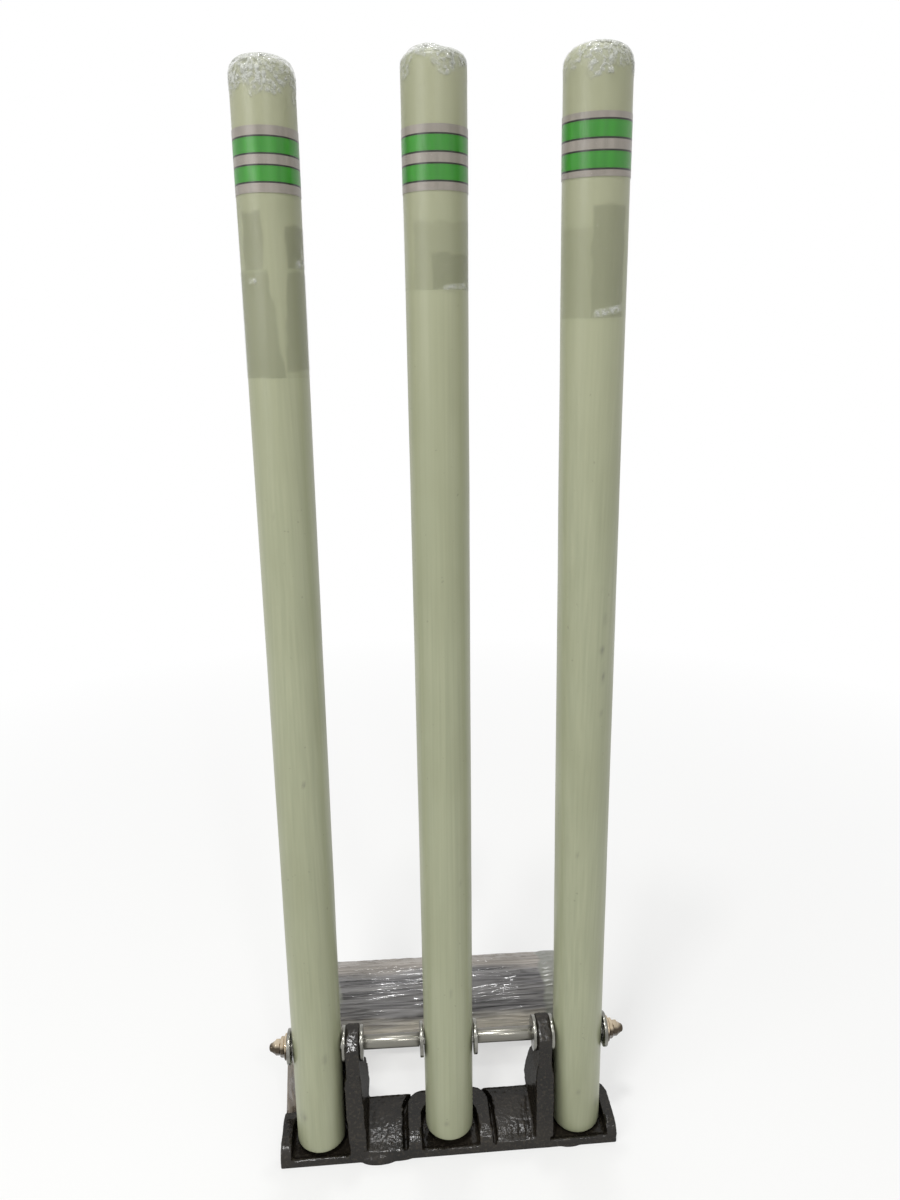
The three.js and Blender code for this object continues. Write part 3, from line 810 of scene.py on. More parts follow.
def puckers_at(side, depth, degrees):
    fade = 0.15  # of a pucker's length, at each end
    core = 0.2  # of its width
    share = 0.0
    for line, left, right, width, rise in FILM_PUCKERS[side]:
        along = (degrees - left) / (right - left)
        if 0 < along < 1:
            off = abs(depth - line + rise * along) / width
            ends = ramp(along, 0, fade) * ramp(along, 1, 1 - fade)
            share = max(share, ramp(off, 1, core) * ends)
    return share


def gathered_at(side, depth, degrees, wander):
    reach, strongest, elsewhere, _ = GATHERS[side]
    away = abs((degrees - strongest + 180) % 360 - 180)
    share = ramp(depth + GATHER_WAVERS * wander, reach + GATHER_STARTS, reach + GATHER_FULL)
    return share * (elsewhere + (1 - elsewhere) * ramp(away, TURNED_AWAY, TURNED_TO))


# %% [markdown]
# The middle sleeve's film was pulled together into a flat tuft on the left half of its top,
# and every sleeve has one small knot where the roll's end was pressed on. Crinkles are a
# noise turned into ridges: where a soft noise crosses zero, a sharp crest stands.

# %% Crinkles, knots and the tuft
CRINKLE_HEIGHT, CRINKLE_SIZE, GATHERS_STAND = 0.4, 2.0, 3  # the last one is a depth
PUCKER_HEIGHT, PUCKER_FOLD = 0.6, 0.8  # millimetres, and how milky it gets
KNOT_RADIUS, KNOT_CORE, KNOT_HEIGHT = 2.2, 0.6, 1.1
TUFT_RADIUS, TUFT_CORE, TUFT_RIGHT, TUFT_LEFT = 14.5, 12, 5, -3
TUFT_LIFT, TUFT_WAVE = 0.9, 0.4


def crinkle(point, size):
    """A ridged noise, coarse and fine: sharp crests where a soft noise crosses zero."""
    finer, sharpness, coarse_share = 2.1, 4, 0.6
    coarse = 1 - abs(noise.noise(point / (size * MM)))
    fine = 1 - abs(noise.noise(point / (size * MM / finer) + Vector((7, 3, 1))))
    return coarse_share * coarse ** sharpness + (1 - coarse_share) * fine ** sharpness


def knot_at(side, depth, degrees):
    knot_depth, knot_angle = KNOTS[side]
    across = math.radians(degrees - knot_angle) * STUMP_RADIUS
    return ramp(math.hypot(depth - knot_depth, across), KNOT_RADIUS, KNOT_CORE)


def tuft_height(point, risen, high, wander):
    """How much a point that has risen so far still has to rise, to lie in the flat tuft."""
    share = ramp(math.hypot(point.x, point.y) / MM, TUFT_RADIUS, TUFT_CORE)
    share *= ramp(point.x / MM, TUFT_RIGHT, TUFT_LEFT)
    flat = (high + TUFT_LIFT + TUFT_WAVE * wander) * MM
    return max(0, flat - risen) * share


# %% The sleeve's outline
DOME_SEAT, LABEL_FILM_SEAT = 0.12, 0.35  # off the paint; below the dome it clears the label
SEAT_RISES, SEAT_RISEN = 20, 28  # the depths between which the first turns into the second
FILM_WALL = 0.08
SLEEVE_STEPS, SLEEVE_DOME_STEPS = 168, 40


def sleeve_outline(side, high, depth):
    fine_end, fine_step, step = 26, 0.7, 1.3
    rings = []
    level = depth
    while level > DOMES[side][0]:
        rings.append((STUMP_RADIUS, high - level))
        level -= step if level > fine_end else fine_step
    return rings + dome_outline(DOMES[side][0], SLEEVE_FULLNESS[side], high, SLEEVE_DOME_STEPS)


# %% Make the film sleeves
def film_sleeve(side):
    matrix, _, high = stump_frames[side]
    shape = turned(sleeve_outline(side, high, FILM_DEPTHS[side]), SLEEVE_STEPS)
    fold = shape.verts.layers.float.new("fold")
    layers = shape.verts.layers.float.new("layers")
    seed = Vector((5 * SIDES.index(side), 0, 0))
    wander_size = 9 * MM
    for vertex in shape.verts:
        point = vertex.co.copy()
        depth = high - point.z / MM
        degrees = math.degrees(math.atan2(point.x, -point.y))
        wander = noise.noise(point / wander_size + seed)
        gathered = gathered_at(side, depth, degrees, wander)
        pucker = puckers_at(side, depth, degrees)
        knot = knot_at(side, depth, degrees)
        vertex[fold] = max(gathered, PUCKER_FOLD * pucker, knot)
        vertex[layers] = layers_at(side, depth, degrees, wander)
        out = Vector((point.x, point.y, max(0, point.z - (high - DOMES[side][0]) * MM)))
        ridges = crinkle(point + seed * MM, CRINKLE_SIZE)
        seat_rise = (LABEL_FILM_SEAT - DOME_SEAT) * ramp(depth, SEAT_RISES, SEAT_RISEN)
        lift = DOME_SEAT + seat_rise + CRINKLE_HEIGHT * gathered * ridges
        lift += PUCKER_HEIGHT * pucker * ridges + KNOT_HEIGHT * knot
        vertex.co += out.normalized() * lift * MM
        vertex.co.z += GATHERS[side][3] * ramp(depth, DOMES[side][0], GATHERS_STAND) * MM
        if side == "middle" and out.z > 0:
            vertex.co.z += tuft_height(point, vertex.co.z, high, wander)
    moved(shape, matrix)
    made = piece(f"film_sleeve_{side}", shape, film, f"{side}_stump")
    wall = made.modifiers.new("film_wall", "SOLIDIFY")
    wall.thickness = FILM_WALL * MM
    wall.offset = 1
    return made


for side in SIDES:
    made = film_sleeve(side)
    print(made.name, len(made.data.polygons), "faces before the wall")

# %% [markdown]
# ## The base casting
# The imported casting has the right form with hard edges. Sand moulds need round ones and a
# slight draft, so that the pattern can be pulled out, and an ear takes the load of a struck
# stump, so a real foundry thickens it where it can. Each ear's lower part is therefore widened
# towards the ground, a solid gusset stands behind it, and a brow runs down in front of its
# nose. Grooves set the decks off from the middle arch, and the stubs of the gates through
# which the iron ran in are left under the front edge.
#
# All of it could be sculpted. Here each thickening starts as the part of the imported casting
# that lies in a box, or as a box of its own, so that it fits the solid to the millimetre.

# %% Solid blocks for joins and cuts
def block(low, high):
    """A box between two corners in millimetres."""
    shape = bmesh.new()
    bmesh.ops.create_cube(shape, size=1)
    middle = (Vector(low) + Vector(high)) / 2
    size = Vector(high) - Vector(low)
    return moved(shape, Matrix.Translation(middle * MM) @ Matrix.Diagonal((*(size * MM), 1)))


def mirrored_x(direction, low, high):
    """Two corners, mirrored to the left where the direction is -1."""
    xs = sorted((direction * low[0], direction * high[0]))
    return (xs[0], *low[1:]), (xs[1], *high[1:])


def common(source, low, high):
    """The part of a shape, which is kept, that lies in a box."""
    return combined(source.copy(), block(low, high), "INTERSECT")


def joined(shapes):
    """All the closed shapes in one, still overlapping: a voxel remesh fuses them."""
    whole = bmesh.new()
    for shape in shapes:
        mesh = bpy.data.meshes.new("part")
        shape.to_mesh(mesh)
        shape.free()
        whole.from_mesh(mesh)
        bpy.data.meshes.remove(mesh)
    return whole


# %% The ears' draft
WASHER_SEAT = 0.3
EAR_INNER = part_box("washer_right_ear_inner")[1].x / MM + WASHER_SEAT
EAR_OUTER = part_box("washer_right_ear_outer")[0].x / MM - WASHER_SEAT
EAR_FRONT, EAR_BACK = -30, 60  # past the ear at both ends
FLARE_TOP, FLARE_END, FOOT_LOW = 73, 62, 10
FLARES = {  # by side: (outer, inner) where the flare ends, and (outer, inner) at the foot
    -1: ((2.1, 0.8), (0.3, 3.6)),
    1: ((2.3, 1.2), (2.3, 1.2)),
}
print("ears from", round(EAR_INNER, 1), "to", round(EAR_OUTER, 1), "mm out")


def ear_foot(source, direction):
    box = mirrored_x(direction, (EAR_INNER, EAR_FRONT, FOOT_LOW),
                     (EAR_OUTER, EAR_BACK, FLARE_TOP))
    foot = common(source, *box)
    bmesh.ops.bisect_plane(foot, geom=[*foot.verts, *foot.edges, *foot.faces],
                           plane_co=(0, 0, FLARE_END * MM), plane_no=(0, 0, 1))
    middle = direction * (EAR_INNER + EAR_OUTER) / 2 * MM
    at_end, at_foot = FLARES[direction]
    for vertex in foot.verts:
        outwards = (vertex.co.x - middle) * direction > 0
        side = 0 if outwards else 1
        z = vertex.co.z / MM
        if z > FLARE_END - 1:
            flare = at_end[side] * (FLARE_TOP - z) / (FLARE_TOP - FLARE_END)
        else:
            flare = at_foot[side]
        vertex.co.x += direction * (flare if outwards else -flare) * MM
    return foot


# %% The ears' gussets and brows
GUSSET_FRONT, GUSSET_BACK, GUSSET_TOP, GUSSET_LOW, GUSSET_OUTER = 15.5, 60, 69, 4, 83
BROW_SLOPE, BROW_REACH, BROW_FOOT = 30, 10, 60  # degrees, and millimetres
BROW_DEPTH, BROW_SEAT, BROW_BACK = 6, 2, -8  # how thick, how far into the nose, and its front
NOSE_RADIUS = 12.8


def ear_gusset(source, direction):
    """The web behind an ear, widened from the ear's own slice towards the outer stump."""
    inset = 1
    box = mirrored_x(direction, (EAR_INNER + inset, GUSSET_FRONT, GUSSET_LOW),
                     (EAR_OUTER - inset, GUSSET_BACK, GUSSET_TOP))
    gusset = common(source, *box)
    start = direction * (EAR_INNER + inset) * MM
    widening = (GUSSET_OUTER - EAR_INNER - inset) / (EAR_OUTER - EAR_INNER - 2 * inset)
    for vertex in gusset.verts:
        vertex.co.x = start + (vertex.co.x - start) * widening
    return gusset


def ear_brow(direction):
    """The thick front of an ear: it slopes down from the nose and runs into the front face."""
    slope = math.radians(BROW_SLOPE)
    nose_top = Vector((0, -NOSE_RADIUS * math.sin(slope),
                       AXLE_HEIGHT + NOSE_RADIUS * math.cos(slope)))
    low, high = mirrored_x(direction, (EAR_INNER, -BROW_REACH, -BROW_DEPTH),
                           (EAR_OUTER, BROW_SEAT, 0))
    tilt = Matrix.Translation(nose_top * MM) @ Matrix.Rotation(slope, 4, "X")
    sloping = moved(block(low, high), tilt)
    front = nose_top.y - BROW_REACH * math.cos(slope)
    front_top = nose_top.z - BROW_REACH * math.sin(slope)
    low, high = mirrored_x(direction, (EAR_INNER, front, BROW_FOOT),
                           (EAR_OUTER, BROW_BACK, front_top))
    return [sloping, block(low, high)]


# %% Grooves beside the middle arch, and the gates' stubs
ROW_SKEW = Matrix.Rotation(math.radians(0.95), 4, "Z")  # the row of pockets to the axle
ROW_FRONT, ARCH_BACK = -20.4, 25.7
ARCH_HALF, ARCH_CORNER = 30.8, 15.0
GROOVE_WIDTH, GROOVE_FLOOR, GROOVE_TOP, GROOVE_START = 3.6, 5.0, 20.0, 0.8
CORNER_TURN, CORNER_STEPS = 56, 10
GATE_STUBS = [  # (place along the front edge, width, reach) of the lumps
    (-52, 27, 3.6),
    (-38, 22, 1.4),
    (88, 16, 1.2),
]


def straight_groove(direction):
    low, high = mirrored_x(direction, (ARCH_HALF, ROW_FRONT + GROOVE_START, GROOVE_FLOOR),
                           (ARCH_HALF + GROOVE_WIDTH, ARCH_BACK - ARCH_CORNER, GROOVE_TOP))
    return moved(block(low, high), ROW_SKEW)


def corner_groove(direction):
    """The groove where it follows the arch round its corner and runs out."""
    cut = block((ARCH_CORNER, 0, GROOVE_FLOOR), (ARCH_CORNER + GROOVE_WIDTH, 0.1, GROOVE_TOP))
    side = [face for face in cut.faces if face.normal.y > 0.5]
    bmesh.ops.delete(cut, geom=[face for face in cut.faces if face not in side],
                     context="FACES")
    start = [*cut.verts, *cut.edges, *cut.faces]
    bmesh.ops.spin(cut, geom=start, cent=(0, 0, 0), axis=(0, 0, 1),
                   angle=math.radians(CORNER_TURN), steps=CORNER_STEPS)
    bmesh.ops.recalc_face_normals(cut, faces=cut.faces)
    if direction < 0:
        moved(cut, Matrix.Scale(-1, 4, (1, 0, 0)))
    place = (direction * (ARCH_HALF - ARCH_CORNER), ARCH_BACK - ARCH_CORNER, 0)
    return moved(cut, ROW_SKEW @ Matrix.Translation(Vector(place) * MM))


def gate_stub(x, width, reach):
    height, centre, sunk_in = 10, 1.6, 1
    lump = bmesh.new()
    bmesh.ops.create_icosphere(lump, subdivisions=3, radius=MM)
    size = Matrix.Diagonal((width / 2, reach + sunk_in, height / 2, 1))
    place = Matrix.Translation(Vector((x, ROW_FRONT + sunk_in, centre)) * MM)
    return moved(lump, ROW_SKEW @ place @ size)


# %% [markdown]
# A union of the parts would be exact, but it fails where their faces lie in one plane. The
# parts are only put together instead, and remeshed on a grid of a millimetre, which fuses
# them and gives every edge a small round. The skin is then moved by noise: long soft swells
# from the mould and small pits from the sand. The form runs a little below the ground before
# that, and is cut off level afterwards, so that the underside keeps its crisp edge.

# %% Remesh, cut and roughen
VOXEL = 1.0
SUNK = 3


def remeshed(source):
    holder = mesh_object("casting_form", source)
    remesh = holder.modifiers.new("sand_mould", "REMESH")
    remesh.mode = "VOXEL"
    remesh.voxel_size = VOXEL * MM
    shape = bmesh.new()
    shape.from_object(holder, bpy.context.evaluated_depsgraph_get())
    form = holder.data
    bpy.data.objects.remove(holder)
    bpy.data.meshes.remove(form)
    return shape


def cut_at_ground(shape):
    bmesh.ops.bisect_plane(shape, geom=[*shape.verts, *shape.edges, *shape.faces],
                           plane_co=(0, 0, 0), plane_no=(0, 0, 1), clear_inner=True,
                           dist=0.01 * MM)
    rim = [edge for edge in shape.edges if edge.is_boundary]
    bmesh.ops.triangle_fill(shape, use_beauty=True, use_dissolve=False, edges=rim,
                            normal=(0, 0, -1))
    bmesh.ops.recalc_face_normals(shape, faces=shape.faces)


def cast_skin(shape):
    swell, swell_size = 0.25 * MM, 16 * MM
    pit, pit_size = 0.2 * MM, 2.4 * MM
    shape.normal_update()
    moves = []
    for vertex in shape.verts:
        depth = swell * noise.noise(vertex.co / swell_size)
        depth += pit * noise.noise(vertex.co / pit_size)
        moves.append(vertex.normal * depth * min(1, vertex.co.z / MM))
    for vertex, move in zip(shape.verts, moves):
        vertex.co += move
        vertex.co.z = max(vertex.co.z, 0)


# %% Make the casting
def base_casting():
    source = bmesh.new()
    source.from_mesh(frame["nodes"]["base_casting"].data)
    bmesh.ops.remove_doubles(source, verts=source.verts, dist=0.01 * MM)
    bmesh.ops.recalc_face_normals(source, faces=source.faces)
    parts = [gate_stub(x, width, reach) for x, width, reach in GATE_STUBS]
    for direction in (-1, 1):
        parts += [ear_foot(source, direction), ear_gusset(source, direction)]
        parts += ear_brow(direction)
    for direction in (-1, 1):
        source = combined(source, straight_groove(direction), "DIFFERENCE")
        source = combined(source, corner_groove(direction), "DIFFERENCE")
    source = joined([source, *parts])
    on_ground = 0.1
    for vertex in source.verts:
        if vertex.co.z < on_ground * MM:
            vertex.co.z = -SUNK * MM
    shape = remeshed(source)
    bmesh.ops.smooth_vert(shape, verts=shape.verts, factor=0.5, use_axis_x=True,
                          use_axis_y=True, use_axis_z=True)
    cut_at_ground(shape)
    cast_skin(shape)
    return piece("cast_base", shape, iron, "base", ("base_casting",))


casting = base_casting()
print("casting:", len(casting.data.polygons), "faces")

# %% [markdown]
# ## Washers and tubes on the axle
# Washers are punched from plate and the spacer tubes are drawn, so both are rings: an outline
# with four corners, spun and softened. Two cylinders and a boolean would make the same ring
# with rougher faces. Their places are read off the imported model's boxes.

# %% Make the washers and tubes
ROD_BORE, WASHER_RADIUS, TUBE_RADIUS = 4.2, 12.0, 4.9
WASHER_EDGE, TUBE_EDGE, RING_STEPS = 0.45, 0.2, 80


def ring_on_axle(name, outer, edge, material):
    low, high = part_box(name)
    length = (high.x - low.x) / MM
    shape = turned([(ROD_BORE, 0), (outer, 0), (outer, length), (ROD_BORE, length)],
                   RING_STEPS, closed=True)
    soften(shape, edge)
    moved(shape, Matrix.Translation((low.x, 0, AXLE_HEIGHT * MM)) @ ALONG_X)
    print(name, "length", round(length, 2), "mm")
    return piece(f"plated_{name}", shape, material, "base", (name,))


for side in ("left", "right"):
    for where in ("middle", "ear_inner", "ear_outer", "outer"):
        ring_on_axle(f"washer_{side}_{where}", WASHER_RADIUS, WASHER_EDGE, zinc)
    ring_on_axle(f"spacer_tube_{side}", TUBE_RADIUS, TUBE_EDGE, tube_zinc)

# %% [markdown]
# ## A loose tail of film
# Where the packing film was torn, a narrow tail of it hangs from the left outer washer, beside
# the stump, down to the casting. It is light and short, so it needs no simulation: one sheet,
# made from a grid that widens downwards and ripples.

# %% Make the tail of film
TAIL_START, TAIL_Y = 112.3, 2.5  # at its top: how far left of the middle, and how far back
TAIL_INWARDS, TAIL_BACK = 2.0, 5.5  # how much further in and back its lower end is
TAIL_TOP_WIDTH, TAIL_LOW_WIDTH, TAIL_LOW = 3.2, 10.2, 18.0
TAIL_RIPPLE, RIPPLE_WIDTH, RIPPLE_LENGTH = 0.5, 3, 14
TAIL_WALL = 0.06


def film_tail():
    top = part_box("washer_left_outer")[0].z / MM
    across, along = 16, 70
    shape = bmesh.new()
    bmesh.ops.create_grid(shape, x_segments=across, y_segments=along, size=0.5)
    for vertex in shape.verts:
        u, v = vertex.co.x + 0.5, 0.5 - vertex.co.y
        width = TAIL_TOP_WIDTH + (TAIL_LOW_WIDTH - TAIL_TOP_WIDTH) * v
        z = top + (TAIL_LOW - top) * v
        x = -TAIL_START + TAIL_INWARDS * v - u * width
        ripple = TAIL_RIPPLE * noise.noise(Vector((x / RIPPLE_WIDTH, 0, z / RIPPLE_LENGTH)))
        vertex.co = Vector((x, TAIL_Y + TAIL_BACK * v + ripple, z)) * MM
    bmesh.ops.recalc_face_normals(shape, faces=shape.faces)
    made = piece("film_tail", shape, tail_film, "base")
    wall = made.modifiers.new("film_wall", "SOLIDIFY")
    wall.thickness = TAIL_WALL * MM


film_tail()

# %% [markdown]
# ## Nuts and bolts
# A hexagon nut is a six-sided bar whose corners are turned off at a slant. A bevel would cut
# the corners straight; a prism cut with a spun barrel, as the lathe does it, gets the curved
# lines that real nuts show there.

# %% A chamfered hexagon
BARREL_STEPS = 72
PAST_CORNERS = 1.05  # the barrel's width where it doesn't cut


def chamfered_hexagon(flats, start, end, chamfer, both_ends=True):
    """A hexagon bar along Z, in millimetres, with its corners turned off."""
    corner = flats / math.sqrt(3)
    length = end - start
    prism = bmesh.new()
    bmesh.ops.create_cone(prism, cap_ends=True, segments=6, radius1=corner * MM,
                          radius2=corner * MM, depth=length * MM)
    moved(prism, Matrix.Translation((0, 0, (start + end) / 2 * MM)))
    wide = corner * PAST_CORNERS
    low_radius = flats / 2 if both_ends else wide
    barrel = turned([(0, start), (low_radius, start), (wide, start + chamfer),
                     (wide, end - chamfer), (flats / 2, end), (0, end)], BARREL_STEPS)
    return combined(prism, barrel, "INTERSECT")


# %% The flange nuts
NUT_FLATS, NUT_CHAMFER, NUT_EDGE = 12.4, 0.9, 0.16
FLANGE_RADIUS, FLANGE_LENGTH = 8.8, 1.4


def outward(side, node):
    """The matrix that lays +Z outwards along the axle from a node's inner face, and the
    node's length in millimetres."""
    low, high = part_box(node)
    sign = 1 if side == "right" else -1
    inner_face = low.x if side == "right" else high.x
    place = Matrix.Translation((inner_face, 0, (low.z + high.z) / 2))
    return place @ Matrix.Rotation(sign * math.pi / 2, 4, "Y"), (high.x - low.x) / MM


def flange_nut(side):
    matrix, length = outward(side, f"flange_nut_{side}")
    hexagon = chamfered_hexagon(NUT_FLATS, 0, length, NUT_CHAMFER, both_ends=False)
    cone_end, rim_in, rim_up = FLANGE_LENGTH * 2, 0.3, 0.4
    flange = turned([(0, 0), (FLANGE_RADIUS - rim_in, 0), (FLANGE_RADIUS, rim_up),
                     (FLANGE_RADIUS, FLANGE_LENGTH), (NUT_FLATS / 2, cone_end),
                     (0, cone_end)], BARREL_STEPS)
    shape = moved(soften(combined(hexagon, flange, "UNION"), NUT_EDGE), matrix)
    return piece(f"plated_flange_nut_{side}", shape, nickel, "base",
                 (f"flange_nut_{side}",))


# %% The dome nuts
CAP_FLATS, CAP_CHAMFER, CAP_NOSE_RADIUS, CAP_NOSE_STEPS = 9.6, 0.7, 3.0, 8
CAP_HEX_SHARE, CAP_TAPER_SHARE = 0.43, 0.76  # of the cap's length


def dome_nut(side):
    matrix, length = outward(side, f"dome_nut_{side}")
    hex_end, taper_end = length * CAP_HEX_SHARE, length * CAP_TAPER_SHARE
    hexagon = chamfered_hexagon(CAP_FLATS, 0, hex_end, CAP_CHAMFER)
    nose = []
    for i in range(CAP_NOSE_STEPS + 1):
        angle = math.pi / 2 * i / CAP_NOSE_STEPS
        radius = CAP_NOSE_RADIUS * math.cos(angle) if i < CAP_NOSE_STEPS else 0
        nose.append((radius, taper_end + (length - taper_end) * math.sin(angle)))
    core, inset = CAP_FLATS / 2 - 0.1, 0.4
    dome = turned([(0, inset), (core, inset), (core, hex_end), *nose], BARREL_STEPS)
    shape = moved(soften(combined(hexagon, dome, "UNION"), NUT_EDGE), matrix)
    return piece(f"plated_dome_nut_{side}", shape, nickel, "base",
                 (f"dome_nut_{side}",))


# %% Make the nuts and the bar's bolts
BOLT_HEAD, BOLT_RADIUS, BOLT_FLATS, BOLT_CHAMFER, BOLT_EDGE = 6.4, 5.0, 16.0, 1.1, 0.2
BOLT_TIP, BOLT_STEPS = 0.6, 48


def bar_bolt(side):
    matrix, length = outward(side, f"bar_bolt_{side}")
    matrix.translation.y = bar_centre.y
    hexagon = chamfered_hexagon(BOLT_FLATS, length - BOLT_HEAD, length, BOLT_CHAMFER,
                                both_ends=False)
    shank_end = length - BOLT_HEAD + 1
    shank = turned([(0, 0), (BOLT_RADIUS - BOLT_TIP, 0), (BOLT_RADIUS, BOLT_TIP),
                    (BOLT_RADIUS, shank_end), (0, shank_end)], BOLT_STEPS)
    shape = moved(soften(combined(hexagon, shank, "UNION"), BOLT_EDGE), matrix)
    return piece(f"plated_bar_bolt_{side}", shape, zinc, "base",
                 (f"bar_bolt_{side}",))


for side in ("left", "right"):
    for made in (flange_nut(side), dome_nut(side), bar_bolt(side)):
        print(made.name, len(made.data.polygons), "faces")

# %% [markdown]
# ## Film round the bar
# The bar is wound in many turns of stretch film. Pulled film makes creases along the bar. A
# bump in the finish would shade them, but leave the outline smooth, so the skin's own rings
# are lifted by a ridged noise that is drawn out along X. Towards both ends the turns are
# bunched and stand a little prouder.

# %% Make the wound film
FILM_INNER, FILM_SKIN = 30.3, 0.9  # the film's bore, and how far its creases may stand up
WRAP_STEPS, WRAP_RINGS = 300, 130
CREASE, CREASE_SIZE, CREASE_SHARE, CREASE_SHARPNESS = 0.8, 3.0, 22, 6
LUMP, LUMP_SIZE, LUMP_SHARE = 0.5, 14, 3
SINK = 0.3  # takes back what the creases add on the whole
SLANT = math.radians(0.11)  # of turn for each millimetre along the bar
BUNCH, BUNCH_WIDTH = 0.7, 15


def wound_bar():
    half = bar_half / MM
    full = bar_radius / MM - FILM_SKIN
    rings = [-half + 2 * half * i / WRAP_RINGS for i in range(WRAP_RINGS + 1)]
    outline = [(full, x) for x in rings]
    shape = turned([*outline, (FILM_INNER, half), (FILM_INNER, -half)], WRAP_STEPS, closed=True)
    moved(shape, ALONG_X)
    for vertex in shape.verts:
        around = Vector((0, vertex.co.y, vertex.co.z))
        if around.length < (full - 0.5) * MM:
            continue  # the bore stays round
        x = vertex.co.x / MM
        twisted = Matrix.Rotation(SLANT * x, 3, "X") @ around / MM
        drawn = Vector((x / CREASE_SHARE, twisted.y, twisted.z)) / CREASE_SIZE
        soft = Vector((x / LUMP_SHARE, twisted.y, twisted.z)) / LUMP_SIZE
        lift = CREASE * (1 - abs(noise.noise(drawn))) ** CREASE_SHARPNESS
        lift += LUMP * noise.noise(soft + Vector((3, 1, 4))) - SINK
        from_end = half - abs(x)
        if from_end < BUNCH_WIDTH:
            lift += BUNCH * math.sin(math.pi * from_end / BUNCH_WIDTH)
        vertex.co += around.normalized() * lift * MM
    moved(shape, Matrix.Translation((0, bar_centre.y, bar_centre.z)))
    return piece("wound_film", shape, bar_wrap, "base", ("bar_film",))


wrapped = wound_bar()
print("wound film:", len(wrapped.data.polygons), "faces")

# %% [markdown]
# ## Screw eyes and springs
# A screw eye is one wire: a straight shank and a ring that nearly closes. A return spring is
# one wire too: a hook, nine turns and a hook. A torus and a screw modifier would leave both
# in loose parts, so each is bent from points that a loop works out, in one run, and its ends
# lie where the imported eyes are. A spring stretches between its stump and the base.

# %% Make the screw eyes
EYE_WIRE, EYE_RING, EYE_SHANK, EYE_NECK = 0.9, 3.2, 12.0, 1.2
EYE_STEPS, EYE_OPENING = 40, math.radians(24)


def eye_ring_centre(node, direction):
    """The middle of a packed eye's ring, which is at the end that direction points to."""
    low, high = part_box(node)
    reach = (EYE_RING + EYE_WIRE) * MM
    y = high.y - reach if direction > 0 else low.y + reach
    return Vector(((low.x + high.x) / 2, y, (low.z + high.z) / 2))


def screw_eye(node, body, direction):
    centre = eye_ring_centre(node, direction)
    points = [centre - Vector((0, direction * (EYE_RING + EYE_SHANK) * MM, 0)),
              centre - Vector((0, direction * (EYE_RING + EYE_NECK) * MM, 0))]
    for i in range(EYE_STEPS + 1):
        angle = (FULL_TURN - EYE_OPENING) * i / EYE_STEPS
        points.append(centre + Vector((0, -direction * math.cos(angle), math.sin(angle)))
                      * EYE_RING * MM)
    return piece(f"plated_{node}", bent_wire(points, EYE_WIRE), zinc, body, (node,))


for side in SIDES:
    screw_eye(f"foot_eye_{side}", f"{side}_stump", 1)
    made = screw_eye(f"bar_eye_{side}", "base", -1)
    print(made.name, len(made.data.polygons), "faces")

# %% A spring's wire, hook to hook
SPRING_WIRE, COIL_RADIUS, HOOK_RADIUS, HOOK_LEAD, HOOK_GAP = 0.8, 4.7, 3.0, 1.6, 0.45
SPRING_TURNS, TURN_STEPS, HOOK_STEPS, SWING_STEPS = 9, 28, 26, 12
HOOK_OPENS = -math.pi / 3  # where its circle starts


def cubic(a, b, c, d, steps):
    """Points of a Bezier curve after its start, up to its end."""
    shares = [i / steps for i in range(1, steps + 1)]
    return [a * (1 - t) ** 3 + 3 * b * t * (1 - t) ** 2 + 3 * c * t * t * (1 - t) + d * t ** 3
            for t in shares]


def spring_points(length):
    """The wire's points in millimetres, from one hook's circle at 0 to the other at length."""
    hook = []
    for i in range(HOOK_STEPS + 1):
        angle = HOOK_OPENS + (math.pi - HOOK_OPENS) * i / HOOK_STEPS
        hook.append(Vector((math.cos(angle), 0, -math.sin(angle))) * HOOK_RADIUS)
    first = HOOK_RADIUS + HOOK_LEAD
    swing = cubic(Vector((-HOOK_RADIUS, 0, 0)), Vector((-HOOK_RADIUS, 0, HOOK_LEAD)),
                  Vector((-HOOK_RADIUS, -COIL_RADIUS, first)),
                  Vector((0, -COIL_RADIUS, first)), SWING_STEPS)
    start = hook + swing
    steps = round((SPRING_TURNS + 0.5) * TURN_STEPS)
    turns = []
    for i in range(1, steps):
        angle = FULL_TURN * i / TURN_STEPS - math.pi / 2
        rise = first + (length - 2 * first) * i / steps
        turns.append(Vector((COIL_RADIUS * math.cos(angle), COIL_RADIUS * math.sin(angle), rise)))
    end = [Vector((p.x, -p.y, length - p.z)) for p in start]
    return start + turns + end[::-1]


def return_spring(side):
    start = eye_ring_centre(f"foot_eye_{side}", 1)
    end = eye_ring_centre(f"bar_eye_{side}", -1)
    reach = EYE_RING + HOOK_RADIUS - EYE_WIRE - SPRING_WIRE - HOOK_GAP
    along = (end - start).normalized()
    length = (end - start).length / MM - 2 * reach
    turn = Vector((0, 0, 1)).rotation_difference(along).to_matrix()
    origin = start + along * reach * MM
    points = [origin + turn @ point * MM for point in spring_points(length)]
    made = mesh_object(f"spring_wire_{side}", bent_wire(points, SPRING_WIRE), (spring_wire,))
    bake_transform(made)
    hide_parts(f"return_spring_{side}")
    print(made.name, "hook to hook", round(length, 1), "mm")


for side in SIDES:
    return_spring(side)

# %% [markdown]
# ## What stays as packed
# The axle rod and the bar are plain round bars, hidden but for a sliver. They could be spun
# like the rest, but nobody would see the difference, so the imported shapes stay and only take
# a finish.

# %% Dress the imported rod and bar
for node, material in (("axle_rod", zinc), ("counterweight_bar", iron)):
    mesh = frame["nodes"][node].data
    mesh.materials.clear()
    mesh.materials.append(material)
    print(node, "takes", material.name)

